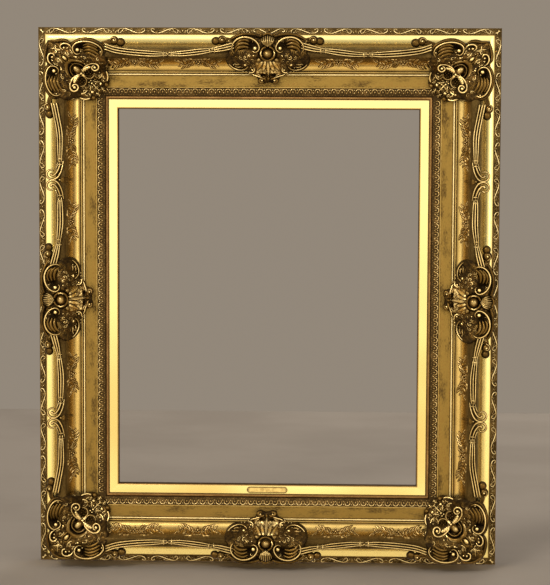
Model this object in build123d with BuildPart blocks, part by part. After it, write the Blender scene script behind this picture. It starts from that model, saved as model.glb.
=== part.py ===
from build123d import *
import os
from math import cos, sin, pi, hypot

# Ornate gilded picture frame for a 610 by 762 mm canvas.
# Axes: +X to the viewer's right, +Z up, the front faces -Y.
# The origin is the middle of the frame on the wall plane, which is the flat back of the rails.

# Driving dimensions, in millimetres
SIGHT_WIDTH = 597.0
SIGHT_HEIGHT = 751.0
RAIL_WIDTH = 161.5
FRAME_WIDTH = SIGHT_WIDTH + 2 * RAIL_WIDTH
FRAME_HEIGHT = SIGHT_HEIGHT + 2 * RAIL_WIDTH

# Stations across a rail, measured inwards from its outer edge
BACK_START = 2.0
EDGE_START = 1.0
VINE_END = 14.8
HOLLOW_START = 16.5
CREST_OUTER = 45.0
CREST_INNER = 61.5
COVE_START = 63.5
COVE_END = 86.5
MEMBER_JOINT = 91.2
FRIEZE_START = 96.0
FRIEZE_END = 120.0
RABBET_WALL = 136.0
LIP_START = 135.4
LIP_END = 142.5
LINER_START = 142.8
PICTURE_WALL = 154.0
LINER_BEVEL = 158.5

# Heights, measured forward of the wall plane
BASE_TOP = 16.0
EDGE_HEIGHT = 23.6
EDGE_ROUND = 1.8
EDGE_SHOULDER = 25.0
VINE_BED_OUTER = 20.0
VINE_BED_INNER = 24.5
HOLLOW_FLOOR = 28.0
CREST_SHOULDER = 99.0
CREST_TOP = 101.0
COVE_TOP = 94.0
COVE_FOOT = 50.6
BEAD_FOOT = 49.5
BEAD_TOP = 51.8
BEAD_SEAT = 52.2
FRIEZE_HEIGHT = 48.7
SIGHT_BED_OUTER = 46.2
SIGHT_BED_INNER = 42.5
LIP_TOP = 44.0
LIP_FOOT = 41.2
LIP_UNDERSIDE = 35.0
LINER_HEIGHT = 40.0
LINER_EDGE = 37.0
PICTURE_LEDGE = 24.0

# A rail is drawn lying along X with its outer edge on the X axis and its inner edge at -Z.
# In SECTION the first coordinate is the distance in from the outer edge and the second the height.
SECTION = Plane(origin=(0, 0, 0), x_dir=(0, 0, -1), z_dir=(-1, 0, 0))

# The four sides: direction outwards, half length of the outer edge, turn about Y
SIDES = {
    "top": ((0, 1), FRAME_WIDTH / 2, 0),
    "right": ((1, 0), FRAME_HEIGHT / 2, 90),
    "bottom": ((0, -1), FRAME_WIDTH / 2, 180),
    "left": ((-1, 0), FRAME_HEIGHT / 2, 270),
}

CORNERS = {"top_left": (-1, 1), "top_right": (1, 1), "bottom_left": (-1, -1), "bottom_right": (1, -1)}

os.makedirs("parts", exist_ok=True)


def save(part, name):
    part.label = name
    export_step(part, f"parts/{name}.step")


def place(side):
    (out_x, out_z), _, turn = SIDES[side]
    return Location((out_x * FRAME_WIDTH / 2, 0, out_z * FRAME_HEIGHT / 2), (0, turn, 0))


def face_plane(height):
    """Plane parallel to the wall, facing forward, at a height in front of it."""
    return Plane(origin=(0, -height, 0), x_dir=(1, 0, 0), z_dir=(0, -1, 0))


def mitre(half_length):
    """Trim both ends of the rail in hand at 45 degrees from its outer corners."""
    split(bisect_by=Plane(origin=(half_length, 0, 0), z_dir=(1, 0, -1)), keep=Keep.BOTTOM)
    split(bisect_by=Plane(origin=(-half_length, 0, 0), z_dir=(-1, 0, -1)), keep=Keep.BOTTOM)


def moulding(outline, half_length):
    """A mitred length of moulding with the given closed section."""
    with BuildPart() as rail:
        with BuildSketch(SECTION):
            add(outline)
        extrude(amount=half_length, both=True)
        mitre(half_length)
    return rail.part


# Relief carving: an outline low down and a narrower one high up, joined by straight slopes
def on_face(points):
    return [(x, -s) for x, s in points]


def relief(foot, brow, low, high):
    """A flat-faced block of carving; both outlines have the same number of points."""
    lower = [Vector(x, -low, -s) for x, s in foot]
    upper = [Vector(x, -high, -s) for x, s in brow]
    corners = list(zip(lower, upper))
    walls = []
    for (low_a, high_a), (low_b, high_b) in zip(corners, corners[1:] + corners[:1]):
        walls.append(Face(Wire.make_polygon([low_a, low_b, high_b, high_a])))
    ends = [Face(Wire.make_polygon(lower)), Face(Wire.make_polygon(upper))]
    return Solid(Shell(walls + ends))


def side_steps(path):
    """For each point of a path, the step sideways that keeps an outline one unit away from it."""
    headings = []
    for (x0, s0), (x1, s1) in zip(path, path[1:]):
        length = hypot(x1 - x0, s1 - s0)
        headings.append(((x1 - x0) / length, (s1 - s0) / length))
    steps = []
    for before, after in zip([headings[0]] + headings, headings + [headings[-1]]):
        mean_x = before[0] + after[0]
        mean_s = before[1] + after[1]
        spread = (mean_x**2 + mean_s**2) / 2
        steps.append((-mean_s / spread, mean_x / spread))
    return headings[0], headings[-1], steps


def stroke(path, width, point=0.6):
    """Outline of a band that follows a path at an even width and runs out to a point at each end."""
    first, last, steps = side_steps(path)
    half = width / 2
    reach = width * point
    near = [(x + half * a, s + half * b) for (x, s), (a, b) in zip(path, steps)]
    far = [(x - half * a, s - half * b) for (x, s), (a, b) in zip(path, steps)]
    tip = (path[-1][0] + reach * last[0], path[-1][1] + reach * last[1])
    tail = (path[0][0] - reach * first[0], path[0][1] - reach * first[1])
    return [*near, tip, *far[::-1], tail]


CROWN = 0.4


def band(path, width, low, high, point=0.6):
    """A raised carved band, such as the rim of a scroll, with a narrow crown."""
    return relief(stroke(path, width, point), stroke(path, width * CROWN, point), low, high)


def shrunk(points, centre, share):
    """The same outline made smaller about a point."""
    return [(centre[0] + (x - centre[0]) * share, centre[1] + (s - centre[1]) * share) for x, s in points]


def ring_points(centre, radius_x, radius_s, count, lean=0.0):
    points = []
    for i in range(count):
        angle = 2 * pi * i / count
        a = radius_x * cos(angle)
        b = radius_s * sin(angle)
        points.append((centre[0] + a * cos(lean) - b * sin(lean), centre[1] + a * sin(lean) + b * cos(lean)))
    return points


def boss(centre, radius, low, high, count=6, radius_s=None, lean=0.0, crown=0.45):
    """A rounded stud, oval where a second radius is given."""
    across = radius_s or radius
    foot = ring_points(centre, radius, across, count, lean)
    brow = ring_points(centre, radius * crown, across * crown, count, lean)
    return relief(foot, brow, low, high)


def ellipse_chords(centre, radius_s, radius_h, start, end, count):
    """Points on a quarter of an ellipse, used where carving is seated on a hollow."""
    points = []
    for i in range(count + 1):
        angle = start + (end - start) * i / count
        points.append((centre[0] + radius_s * cos(angle), centre[1] + radius_h * sin(angle)))
    return points


HOLLOW_CENTRE = (HOLLOW_START, CREST_SHOULDER)
HOLLOW_RADII = (CREST_OUTER - HOLLOW_START, CREST_SHOULDER - HOLLOW_FLOOR)
COVE_CENTRE = (COVE_END, COVE_TOP)
COVE_RADII = (COVE_END - COVE_START, COVE_TOP - COVE_FOOT)
CHORDS = 4


def quarter(centre, radii, start):
    """A quarter ellipse drawn as two arcs that meet in its middle."""
    points = ellipse_chords(centre, *radii, start, start + pi / 2, CHORDS)
    ThreePointArc(*points[:3])
    ThreePointArc(*points[2:])


def seat_points():
    """The front of the bare mouldings as chords, from the outer edge to the frieze."""
    points = [(0, 0), (0, EDGE_HEIGHT), (EDGE_ROUND, EDGE_SHOULDER), (VINE_END, HOLLOW_FLOOR)]
    points += ellipse_chords(HOLLOW_CENTRE, *HOLLOW_RADII, -pi / 2, 0, CHORDS)
    points += [(CREST_OUTER + 1.5, CREST_TOP), (CREST_INNER - 1, CREST_TOP), (CREST_INNER + 1, CREST_SHOULDER)]
    points += ellipse_chords(COVE_CENTRE, *COVE_RADII, pi, 3 * pi / 2, CHORDS)
    points += [(COVE_END, BEAD_SEAT), (FRIEZE_START + 0.3, BEAD_SEAT), (FRIEZE_START + 0.3, FRIEZE_HEIGHT)]
    points += [(LIP_END, FRIEZE_HEIGHT), (LIP_END, 0)]
    return points


def cut_to_seat(half_length):
    """Hollow the back of a carving so that it sits on the mouldings."""
    with BuildSketch(SECTION) as seat:
        Polygon(*seat_points(), align=None)
    extrude(seat.sketch, amount=half_length, both=True, mode=Mode.SUBTRACT)


# Backing rails: flat pine boards that carry everything else
def back_rail_outline():
    with BuildSketch() as outline:
        with BuildLine():
            Polyline((BACK_START, 0), (BACK_START, BASE_TOP), (RABBET_WALL, BASE_TOP), (RABBET_WALL, 0), close=True)
        make_face()
    return outline.sketch


# Crest rail: edge bed, burnished hollow, crest, netted cove and the first bead
def crest_rail_outline():
    with BuildSketch() as outline:
        with BuildLine():
            Polyline(
                (MEMBER_JOINT, BASE_TOP),
                (EDGE_START, BASE_TOP),
                (EDGE_START, VINE_BED_OUTER),
                (VINE_END, VINE_BED_INNER),
                (VINE_END, HOLLOW_FLOOR),
                (HOLLOW_START, HOLLOW_FLOOR),
            )
            quarter(HOLLOW_CENTRE, HOLLOW_RADII, -pi / 2)
            Polyline(
                (CREST_OUTER, CREST_SHOULDER),
                (CREST_OUTER + 1.5, CREST_TOP),
                (CREST_INNER - 1, CREST_TOP),
                (CREST_INNER + 1, CREST_SHOULDER),
                (COVE_START, COVE_TOP),
            )
            quarter(COVE_CENTRE, COVE_RADII, pi)
            Line((COVE_END, COVE_FOOT), (COVE_END, BEAD_FOOT))
            ThreePointArc(
                (COVE_END, BEAD_FOOT),
                ((COVE_END + MEMBER_JOINT) / 2, BEAD_TOP),
                (MEMBER_JOINT, BEAD_FOOT),
            )
            Line((MEMBER_JOINT, BEAD_FOOT), (MEMBER_JOINT, BASE_TOP))
        make_face()
    return outline.sketch


# Frieze rail: second bead, flat frieze, bed for the leaf strip, and the lip over the liner
def frieze_rail_outline():
    with BuildSketch() as outline:
        with BuildLine():
            Line((MEMBER_JOINT, BASE_TOP), (MEMBER_JOINT, BEAD_FOOT))
            ThreePointArc(
                (MEMBER_JOINT, BEAD_FOOT),
                ((MEMBER_JOINT + FRIEZE_START) / 2, BEAD_TOP),
                (FRIEZE_START, FRIEZE_HEIGHT),
            )
            Polyline(
                (FRIEZE_START, FRIEZE_HEIGHT),
                (FRIEZE_END, FRIEZE_HEIGHT),
                (FRIEZE_END, SIGHT_BED_OUTER),
                (LIP_START, SIGHT_BED_INNER),
                (LIP_START, LIP_FOOT),
            )
            ThreePointArc((LIP_START, LIP_FOOT), ((LIP_START + LIP_END) / 2, LIP_TOP), (LIP_END, LIP_FOOT))
            Polyline(
                (LIP_END, LIP_FOOT),
                (LIP_END, LIP_UNDERSIDE),
                (RABBET_WALL, LIP_UNDERSIDE),
                (RABBET_WALL, BASE_TOP),
                (MEMBER_JOINT, BASE_TOP),
            )
        make_face()
    return outline.sketch


# Liner: the burnished slip that holds the picture, with a bevelled sight edge and its own rabbet
def liner_outline():
    with BuildSketch() as outline:
        with BuildLine():
            Polyline(
                (RABBET_WALL, BASE_TOP),
                (RABBET_WALL, LIP_UNDERSIDE),
                (LINER_START, LIP_UNDERSIDE),
                (LINER_START, LINER_HEIGHT),
                (LINER_BEVEL, LINER_HEIGHT),
                (RAIL_WIDTH, LINER_EDGE),
                (RAIL_WIDTH, PICTURE_LEDGE),
                (PICTURE_WALL, PICTURE_LEDGE),
                (PICTURE_WALL, BASE_TOP),
                close=True,
            )
        make_face()
    return outline.sketch


# Vine edge: a pressed strip along the outer edge with a rosette at an even pitch
VINE_PITCH = 68.7
ROSETTE_RADIUS = 4.6
VINE_CENTRE = 8.0
VINE_ROOT = 24.8
VINE_RELIEF = 30.2


def vine_outline():
    with BuildSketch() as outline:
        with BuildLine():
            Polyline(
                (0, 18),
                (0, EDGE_HEIGHT),
                (EDGE_ROUND, EDGE_SHOULDER),
                (VINE_END, HOLLOW_FLOOR),
                (VINE_END, VINE_BED_INNER),
                (EDGE_START, VINE_BED_OUTER),
                (EDGE_START, 18),
                close=True,
            )
        make_face()
    return outline.sketch


def edge_vine(half_length):
    with BuildPart() as strip:
        with BuildSketch(SECTION):
            add(vine_outline())
        extrude(amount=half_length, both=True)
        mitre(half_length)
        repeats = int((half_length - 10) / VINE_PITCH)
        carving = []
        for i in range(-repeats, repeats + 1):
            rosette = (i * VINE_PITCH, VINE_CENTRE)
            carving.append(boss(rosette, ROSETTE_RADIUS, VINE_ROOT, VINE_RELIEF))
        add(carving)
    return strip.part


# Leaf strip beside the lip: upright leaves that stand in a row on a sloping bed
LEAF_PITCH = 80.7
LEAVES_PER_PITCH = 2
LEAF_CLEAR = 32.0
LEAF_ROOT = 42.6
LEAF_RELIEF = 49.6


def leaf_strip_outline():
    with BuildSketch() as outline:
        with BuildLine():
            Polyline(
                (FRIEZE_END, SIGHT_BED_OUTER),
                (FRIEZE_END, 48.0),
                (LIP_START, 44.2),
                (LIP_START, SIGHT_BED_INNER),
                close=True,
            )
        make_face()
    return outline.sketch


def sight_leaf(half_length):
    step = LEAF_PITCH / LEAVES_PER_PITCH
    with BuildPart() as strip:
        with BuildSketch(SECTION):
            add(leaf_strip_outline())
        extrude(amount=half_length, both=True)
        reach = int((half_length - FRIEZE_END - LEAF_CLEAR) / step)
        leaves = []
        for i in range(-reach, reach + 1):
            middle = i * step
            foot = [(middle - 6.5, 122.0), (middle + 6.5, 122.0), (middle, 134.4)]
            leaves.append(relief(foot, shrunk(foot, (middle, 126.0), 0.45), LEAF_ROOT, LEAF_RELIEF))
        add(leaves)
        with BuildSketch(SECTION) as below:
            Polygon(
                (FRIEZE_END, SIGHT_BED_OUTER),
                (LIP_START, SIGHT_BED_INNER),
                (LIP_START, LIP_UNDERSIDE),
                (FRIEZE_END, LIP_UNDERSIDE),
                align=None,
            )
        extrude(below.sketch, amount=half_length, both=True, mode=Mode.SUBTRACT)
        mitre(half_length)
    return strip.part


# The solid body of an ornament is cut to its outline from the front and to its slope from the side
BODY_BACK = 20.0
BODY_DEPTH = 95.0
BODY_REACH = 200.0


def body(outline, slope):
    with BuildSketch(face_plane(BODY_BACK)) as front:
        Polygon(*on_face(outline), align=None)
    extrude(front.sketch, amount=BODY_DEPTH)
    with BuildSketch(SECTION) as side:
        Polygon(*slope, align=None)
    extrude(side.sketch, amount=BODY_REACH, both=True, mode=Mode.INTERSECT)


# Centre ornament, drawn as its right half: body, scroll, leafy ear and lower scroll
CENTRE_BODY = [
    (0, 14), (12, 17), (21, 31), (34, 21), (52, 20.5), (69, 35), (82, 63), (76, 79), (58, 88.5), (40, 87),
    (25, 98), (18, 110.5), (0, 111),
]
CENTRE_SIDE = [(46, 46), (13.4, 90), (20, 102), (64, 104), (82, 68), (113, 53), (113, 40)]
CENTRE_SCROLL = [(27, 50), (19, 49), (15.5, 42), (24, 29.5), (45, 23), (64, 31), (68, 50)]
CENTRE_EAR = [(67, 54), (78, 64), (68, 81), (50, 86), (42, 71)]
CENTRE_LOWER = [(28, 80), (28, 90), (12, 99.5), (9, 108)]
SHELL_SPREAD = 0.3
FRILL_SPREAD = 13.0


def shell_lobes():
    """The gadrooned shell: narrow drops fanned from the round stone."""
    lobes = []
    for i in (-1, 0, 1):
        lean = SHELL_SPREAD * i
        inner = (9 * sin(lean), 44 - 3 * abs(i))
        outer = (34 * sin(lean), 46 - 31 * cos(lean) + abs(i))
        lobes.append(band([inner, outer], 9.0, 98, 114 - 2.5 * abs(i), point=0.5))
    return lobes


def leaf_frill():
    """Leaf tips that hang over the top of the shield."""
    tips = []
    for i in (-1, 0, 1):
        middle = FRILL_SPREAD * i
        foot = [(middle - 6.5, 64), (middle + 6.5, 64), (middle, 77 - 2 * abs(i))]
        tips.append(relief(foot, shrunk(foot, (middle, 68), 0.4), 60, 92 - 3 * abs(i)))
    return tips


def centre_ornament():
    with BuildPart() as ornament:
        body(CENTRE_BODY, CENTRE_SIDE)
        add(
            [
                band(CENTRE_SCROLL, 4.6, 98, 116),
                boss((24, 45), 4.2, 100, 116),
                band(CENTRE_EAR, 4.2, 55, 78),
                boss((46, 75), 3.6, 58, 74),
                band(CENTRE_LOWER, 4.2, 50, 64),
                boss((14, 106), 3.8, 50, 65),
            ]
        )
        mirror(about=Plane.YZ)
        add(
            [
                boss((0, 55), 14.0, 98, 112, count=8, crown=0.86),
                boss((0, 55), 9.5, 108, 119, count=8, crown=0.5),
                band([(0, 82), (0, 109)], 4.6, 50, 68),
                *shell_lobes(),
                *leaf_frill(),
            ]
        )
        cut_to_seat(BODY_REACH)
    return ornament.part


# Corner ornament, drawn as the half on the horizontal arm; the mitre line is its mirror
# Coordinates here are the distances in from the two outer edges
CORNER_BODY = [
    (29, 29), (50, 22.5), (66, 22), (74, 26.5), (92, 22), (107, 21.5), (127, 25.5), (145, 35), (147, 50), (151, 66),
    (145, 84), (149, 101), (146, 114), (134, 134),
]
CORNER_SIDE = [(46, 40), (15, 88), (24, 102), (58, 104), (82, 80), (106, 61), (136, 53), (136, 40)]
CORNER_SCROLL = [(92, 48.5), (83, 48.5), (79, 41.5), (88, 31), (104, 26.5), (122, 29), (137, 41), (137, 52)]
SMALL_SCROLL = [(57, 42), (55, 35), (62, 30), (74, 36)]
RAM_HORN = [(117, 81), (120, 73), (130, 80), (117, 95), (100, 93)]
CARTOUCHE = [(64, 64), (73, 60), (90, 64), (101, 82)]
CORNER_EAR = [(137, 54), (147, 67), (140, 81)]
CORNER_LOBE = [(140, 88), (146, 102), (136, 113)]


CARTOUCHE_CENTRE = 82.0
MITRE_PLANE = Plane(origin=(0, 0, 0), z_dir=(1, 0, 1))


def cartouche():
    """An oval stone in a moulded border that opens towards the sight."""
    border = CARTOUCHE + [(v, u) for u, v in CARTOUCHE[-2:0:-1]]
    middle = CARTOUCHE_CENTRE
    stone = boss((middle, middle), 13.0, 80, 97, count=8, radius_s=9.0, lean=pi / 4, crown=0.5)
    return [relief(border, shrunk(border, (middle, middle), 0.78), 66, 90), stone]


def corner_half():
    with BuildPart() as half:
        body(CORNER_BODY, CORNER_SIDE)
        add(
            [
                band(CORNER_SCROLL, 4.8, 97, 115),
                boss((89, 42.5), 4.2, 100, 115),
                band(SMALL_SCROLL, 3.4, 96, 110),
                band(RAM_HORN, 4.6, 60, 90),
                band(CORNER_EAR, 4.2, 60, 92),
                band(CORNER_LOBE, 4.0, 52, 76),
                boss((139, 117), 4.6, 50, 66),
                *cartouche(),
                band([(38, 38), (61, 61)], 10.0, 96, 113),
                band([(116, 116), (130, 130)], 7.0, 46, 66),
            ]
        )
        cut_to_seat(BODY_REACH)
        split(bisect_by=MITRE_PLANE, keep=Keep.TOP)
    return half.part


def corner_ornament():
    with BuildPart() as ornament:
        add(corner_half())
        mirror(about=MITRE_PLANE)
    return ornament.part


# Reeds along the crest: three in a bundle, gathered at ties, drawn as a run of stations
REED_FOOT = 98.0
REED_TOP = 108.5
REED_WIDTH = 3.7
TIE_WAIST = 7.5
TIE_SHOULDER = 6.0
TIE_RISE = 2.0
TAIL_WIDTH = 7.0
TAIL_FOOT = 84.0
TAIL_TOP = 103.0
ORNAMENT_GAP = 1.0


def reed_run(stations):
    """Three reeds side by side; each station gives a place, the middle line and the spread."""
    reeds = []
    for lane in (-1, 0, 1):
        path = [(x, s + lane * spread) for x, s, spread in stations]
        reeds.append(band(path, REED_WIDTH, REED_FOOT, REED_TOP))
    return reeds


def tie(x, s, length):
    """The wrapped knot that gathers a bundle of reeds."""
    knot = [(x - length, s - TIE_SHOULDER), (x, s - TIE_WAIST), (x + length, s - TIE_SHOULDER)]
    knot += [(x + length, s + TIE_SHOULDER), (x, s + TIE_WAIST), (x - length, s + TIE_SHOULDER)]
    return relief(knot, shrunk(knot, (x, s), 0.45), REED_FOOT, REED_TOP + TIE_RISE)


def tail_curl(root, elbow, ball, radius):
    """A leaf tail that leaves the ornament outside the reeds and ends in a ball."""
    tail = band([root, elbow, ball], TAIL_WIDTH, TAIL_FOOT, TAIL_TOP)
    return [tail, boss(ball, radius, TAIL_FOOT, TAIL_TOP + 1, crown=0.6)]


def clear_of_ornaments(half_length):
    """Stop the reeds where the corner and centre ornaments begin."""
    with BuildSketch(face_plane(HOLLOW_FLOOR)) as outlines:
        Polygon(*on_face(CENTRE_BODY), align=None)
        mirror(about=Plane.YZ)
        corner = [(u - half_length, v) for u, v in CORNER_BODY]
        corner += [(v - half_length, u) for u, v in CORNER_BODY[-2:0:-1]]
        Polygon(*on_face(corner), align=None)
        offset(amount=ORNAMENT_GAP, kind=Kind.INTERSECTION)
    extrude(outlines.sketch, amount=REED_TOP, mode=Mode.SUBTRACT)


SHORT_RUN = [(-322, 53, 5.2), (-250, 56.6, 4.8), (-195, 57.4, 3.8), (-118, 50.4, 4.4), (-76, 45, 5.4)]
OUTER_BUNDLE = [(-399, 53, 5.2), (-325, 57, 4.8), (-268, 55, 3.8)]
INNER_BUNDLE = [(-203, 55, 3.8), (-150, 55.6, 4.8), (-76, 45, 5.4)]
BREAK_MIDDLE = -235.3
VOLUTE_REACH = 10.2


def break_volute(direction):
    """One of the two scrolls that face each other where a long side's reeds break."""
    eye = BREAK_MIDDLE + direction * VOLUTE_REACH
    rim = [(20, 55), (2, 52), (-7.5, 40), (-1, 29.5), (8, 35)]
    inner = [(20, 50), (0.5, 38)]
    return [
        band([(eye + direction * a, s) for a, s in rim], 5.0, 90, 108.5),
        band([(eye + direction * a, s) for a, s in inner], 4.2, 90, 107),
        boss((eye + direction * 0.5, 37), 3.8, 88, 108),
    ]


def short_reeds():
    with BuildPart() as reeds:
        add(
            [
                *reed_run(SHORT_RUN),
                tie(-195, 57.4, 12),
                tie(-108, 49, 8),
                *tail_curl((-322, 44.5), (-300, 36), (-289, 31), 7.0),
                *tail_curl((-74, 41), (-84, 34), (-93, 28), 6.5),
            ]
        )
        clear_of_ornaments(FRAME_WIDTH / 2)
        cut_to_seat(FRAME_WIDTH / 2)
    return reeds.part


def long_reeds():
    fan = [(BREAK_MIDDLE, 52), (BREAK_MIDDLE, 66)]
    with BuildPart() as reeds:
        add(
            [
                *reed_run(OUTER_BUNDLE),
                *reed_run(INNER_BUNDLE),
                tie(-275, 55.4, 7),
                tie(-200, 55, 7),
                tie(-113, 52, 8),
                *break_volute(-1),
                *break_volute(1),
                band(fan, 11.0, 80, 104),
                *tail_curl((-399, 44.5), (-377, 36), (-366, 31), 7.0),
                *tail_curl((-74, 41), (-86, 34), (-96, 28), 6.5),
            ]
        )
        clear_of_ornaments(FRAME_HEIGHT / 2)
        cut_to_seat(FRAME_HEIGHT / 2)
    return reeds.part


# Sprays: small leaf clusters laid on the netted cove between the reeds and the beads
SPRAY_LEAVES = [(-16, 1, -6), (0, 6, 0), (16, 1, 6)]


def cove_spray(places):
    carving = []
    for x in places:
        for start, s_shift, lean in SPRAY_LEAVES:
            root = (x + start * 0.2, 72)
            tip = (x + start + lean, 78 + s_shift)
            foot = [(root[0] - 2.5, root[1]), (root[0] + 2.5, root[1]), tip]
            carving.append(relief(foot, shrunk(foot, root, 0.5), 45, 66))
        carving.append(boss((x, 71), 4.0, 50, 72))
    with BuildPart() as sprays:
        add(carving)
        cut_to_seat(FRAME_HEIGHT / 2)
    return sprays.part


# Title plate: a bare brass tablet with rounded ends, held by a pin at each end
PLATE_LENGTH = 82.0
PLATE_WIDTH = 13.2
PLATE_THICK = 1.0
PLATE_PLACE = 150.6
PIN_SPREAD = 37.4
PIN_RADIUS = 0.6
PIN_DEPTH = 7.0
PIN_HEAD = 1.5
SMALL_SIDES = 10


def title_plate():
    with BuildPart() as plate:
        with BuildSketch(face_plane(LINER_HEIGHT)):
            with Locations((0, -PLATE_PLACE)):
                SlotOverall(PLATE_LENGTH, PLATE_WIDTH)
            with Locations((PIN_SPREAD, -PLATE_PLACE), (-PIN_SPREAD, -PLATE_PLACE)):
                RegularPolygon(PIN_RADIUS, SMALL_SIDES, mode=Mode.SUBTRACT)
        extrude(amount=PLATE_THICK)
        front = plate.faces().sort_by(Axis.Y)[0]
        chamfer(front.outer_wire().edges(), length=0.4)
    return plate.part


def title_plate_pins():
    with BuildPart() as pins:
        with BuildSketch(face_plane(LINER_HEIGHT - PIN_DEPTH)):
            with Locations((PIN_SPREAD, -PLATE_PLACE), (-PIN_SPREAD, -PLATE_PLACE)):
                RegularPolygon(PIN_RADIUS, SMALL_SIDES)
        extrude(amount=PIN_DEPTH + PLATE_THICK)
        with BuildSketch(face_plane(LINER_HEIGHT + PLATE_THICK)):
            with Locations((PIN_SPREAD, -PLATE_PLACE), (-PIN_SPREAD, -PLATE_PLACE)):
                RegularPolygon(PIN_HEAD, SMALL_SIDES)
        extrude(amount=0.8, taper=30)
    return pins.part


# Butterfly keys let into the back across each mitre
KEY_PLACE = 70.0
KEY_HALF = 28.0
KEY_DEPTH = 8.0


def mitre_keys():
    bow = [(-KEY_HALF, -12), (0, -6), (KEY_HALF, -12), (KEY_HALF, 12), (0, 6), (-KEY_HALF, 12)]
    with BuildPart() as keys:
        for side_x in (-1, 1):
            for side_z in (-1, 1):
                middle = (side_x * (FRAME_WIDTH / 2 - KEY_PLACE), 0, side_z * (FRAME_HEIGHT / 2 - KEY_PLACE))
                across = (1, 0, -side_x * side_z)
                with BuildSketch(Plane(origin=middle, x_dir=across, z_dir=(0, -1, 0))):
                    Polygon(*bow, align=None)
        extrude(amount=KEY_DEPTH)
    return keys.part


# Brads driven into the rabbet wall, lying against the back of the liner
BRAD_RADIUS = 0.75
BRAD_REACH = 12.0
BRAD_PLACES = {"top": (-180, 180), "bottom": (-180, 180), "left": (-250, 0, 250), "right": (-250, 0, 250)}


def liner_brads():
    with BuildPart() as brads:
        for side, places in BRAD_PLACES.items():
            for along in places:
                start = place(side) * Location((along, -(BASE_TOP - BRAD_RADIUS), -(RABBET_WALL - BRAD_REACH)))
                with BuildSketch(Plane(start) * Location((0, 0, 0), (180, 0, 0))):
                    RegularPolygon(BRAD_RADIUS, SMALL_SIDES)
        extrude(amount=2 * BRAD_REACH)
    return brads.part


# Strap hangers on the two side rails, a third of the way down, with a ring in each
HANGER_Z = FRAME_HEIGHT / 2 - FRAME_HEIGHT / 3
STRAP_START = 62.0
RING_AXIS = 106.5
STRAP_WIDTH = 16.0
STRAP_THICK = 2.0
RING_RADIUS = 1.5
KNUCKLE_BORE = 1.55
KNUCKLE_RADIUS = 2.55
RING_HALF = 10.4
RING_LEG = 6.0
STRAP_SCREWS = (70.0, 90.0)
STRAP_SCREW_HEAD = 3.6
STRAP_HEAD_HEIGHT = 1.6
SCREW_RADIUS = 1.8
SCREW_DEPTH = 12.0


def hanger_plane(side, behind):
    """Plane on the back of a side rail: first axis inwards from the outer edge, second up."""
    out = -1 if side == "left" else 1
    origin = (out * FRAME_WIDTH / 2, behind, HANGER_Z)
    return Plane(origin=origin, x_dir=(-out, 0, 0), z_dir=(0, 1, 0))


def hanger_plate(side):
    with BuildPart() as plate:
        with BuildSketch(hanger_plane(side, 0)):
            with BuildLine():
                Polyline(
                    (RING_AXIS, STRAP_WIDTH / 2),
                    (STRAP_START + 4, STRAP_WIDTH / 2),
                    (STRAP_START, STRAP_WIDTH / 2 - 4),
                    (STRAP_START, -STRAP_WIDTH / 2 + 4),
                    (STRAP_START + 4, -STRAP_WIDTH / 2),
                    (RING_AXIS, -STRAP_WIDTH / 2),
                    close=True,
                )
            make_face()
            with Locations(*[(place_s, 0) for place_s in STRAP_SCREWS]):
                RegularPolygon(SCREW_RADIUS, SMALL_SIDES, mode=Mode.SUBTRACT)
        extrude(amount=STRAP_THICK)
        out = -1 if side == "left" else 1
        pivot = (out * (FRAME_WIDTH / 2 - RING_AXIS), KNUCKLE_RADIUS, HANGER_Z)
        with BuildSketch(Plane(origin=pivot, x_dir=(1, 0, 0), z_dir=(0, 0, 1))):
            Circle(KNUCKLE_RADIUS)
        extrude(amount=STRAP_WIDTH / 2, both=True)
        with BuildSketch(Plane(origin=pivot, x_dir=(1, 0, 0), z_dir=(0, 0, 1))):
            Circle(KNUCKLE_BORE)
        extrude(amount=STRAP_WIDTH, both=True, mode=Mode.SUBTRACT)
    return plate.part


def hanger_ring(side):
    out = -1 if side == "left" else 1
    pivot = (out * (FRAME_WIDTH / 2 - RING_AXIS), KNUCKLE_RADIUS, HANGER_Z)
    flat = Plane(origin=pivot, x_dir=(-out, 0, 0), z_dir=(0, 1, 0))
    bow = [(0, -RING_HALF), (RING_LEG, -RING_HALF)]
    for i in range(1, 8):
        angle = -pi / 2 + pi * i / 8
        bow.append((RING_LEG + RING_HALF * cos(angle), RING_HALF * sin(angle)))
    bow += [(RING_LEG, RING_HALF), (0, RING_HALF)]
    with BuildPart() as ring:
        with BuildLine(flat) as path:
            Polyline(*bow)
        with BuildSketch(Plane(origin=path.line @ 0, z_dir=path.line % 0)):
            RegularPolygon(RING_RADIUS, 8)
        sweep(path=path.line, transition=Transition.RIGHT)
        with BuildSketch(Plane(origin=pivot, x_dir=(1, 0, 0), z_dir=(0, 0, 1))):
            Circle(RING_RADIUS)
        extrude(amount=RING_HALF + RING_RADIUS, both=True)
    return ring.part


def pan_screws(places, shank, head, head_base, head_height):
    """Pan-head screws driven forward into the back rails, at (x, z) places, on the given shank."""
    with BuildPart() as screws:
        with BuildSketch(Plane(origin=(0, -SCREW_DEPTH, 0), x_dir=(1, 0, 0), z_dir=(0, 1, 0))):
            with Locations(*[(x, -z) for x, z in places]):
                add(shank)
        extrude(amount=SCREW_DEPTH + head_base)
        with BuildSketch(Plane(origin=(0, head_base, 0), x_dir=(1, 0, 0), z_dir=(0, 1, 0))):
            with Locations(*[(x, -z) for x, z in places]):
                RegularPolygon(head, SMALL_SIDES)
        extrude(amount=head_height, taper=20)
    return screws.part


def strap_shank():
    with BuildSketch() as shank:
        RegularPolygon(SCREW_RADIUS, SMALL_SIDES)
    return shank.sketch


def strap_screw_places():
    places = []
    for out in (-1, 1):
        for place_s in STRAP_SCREWS:
            places.append((out * (FRAME_WIDTH / 2 - place_s), HANGER_Z))
    return places


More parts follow.
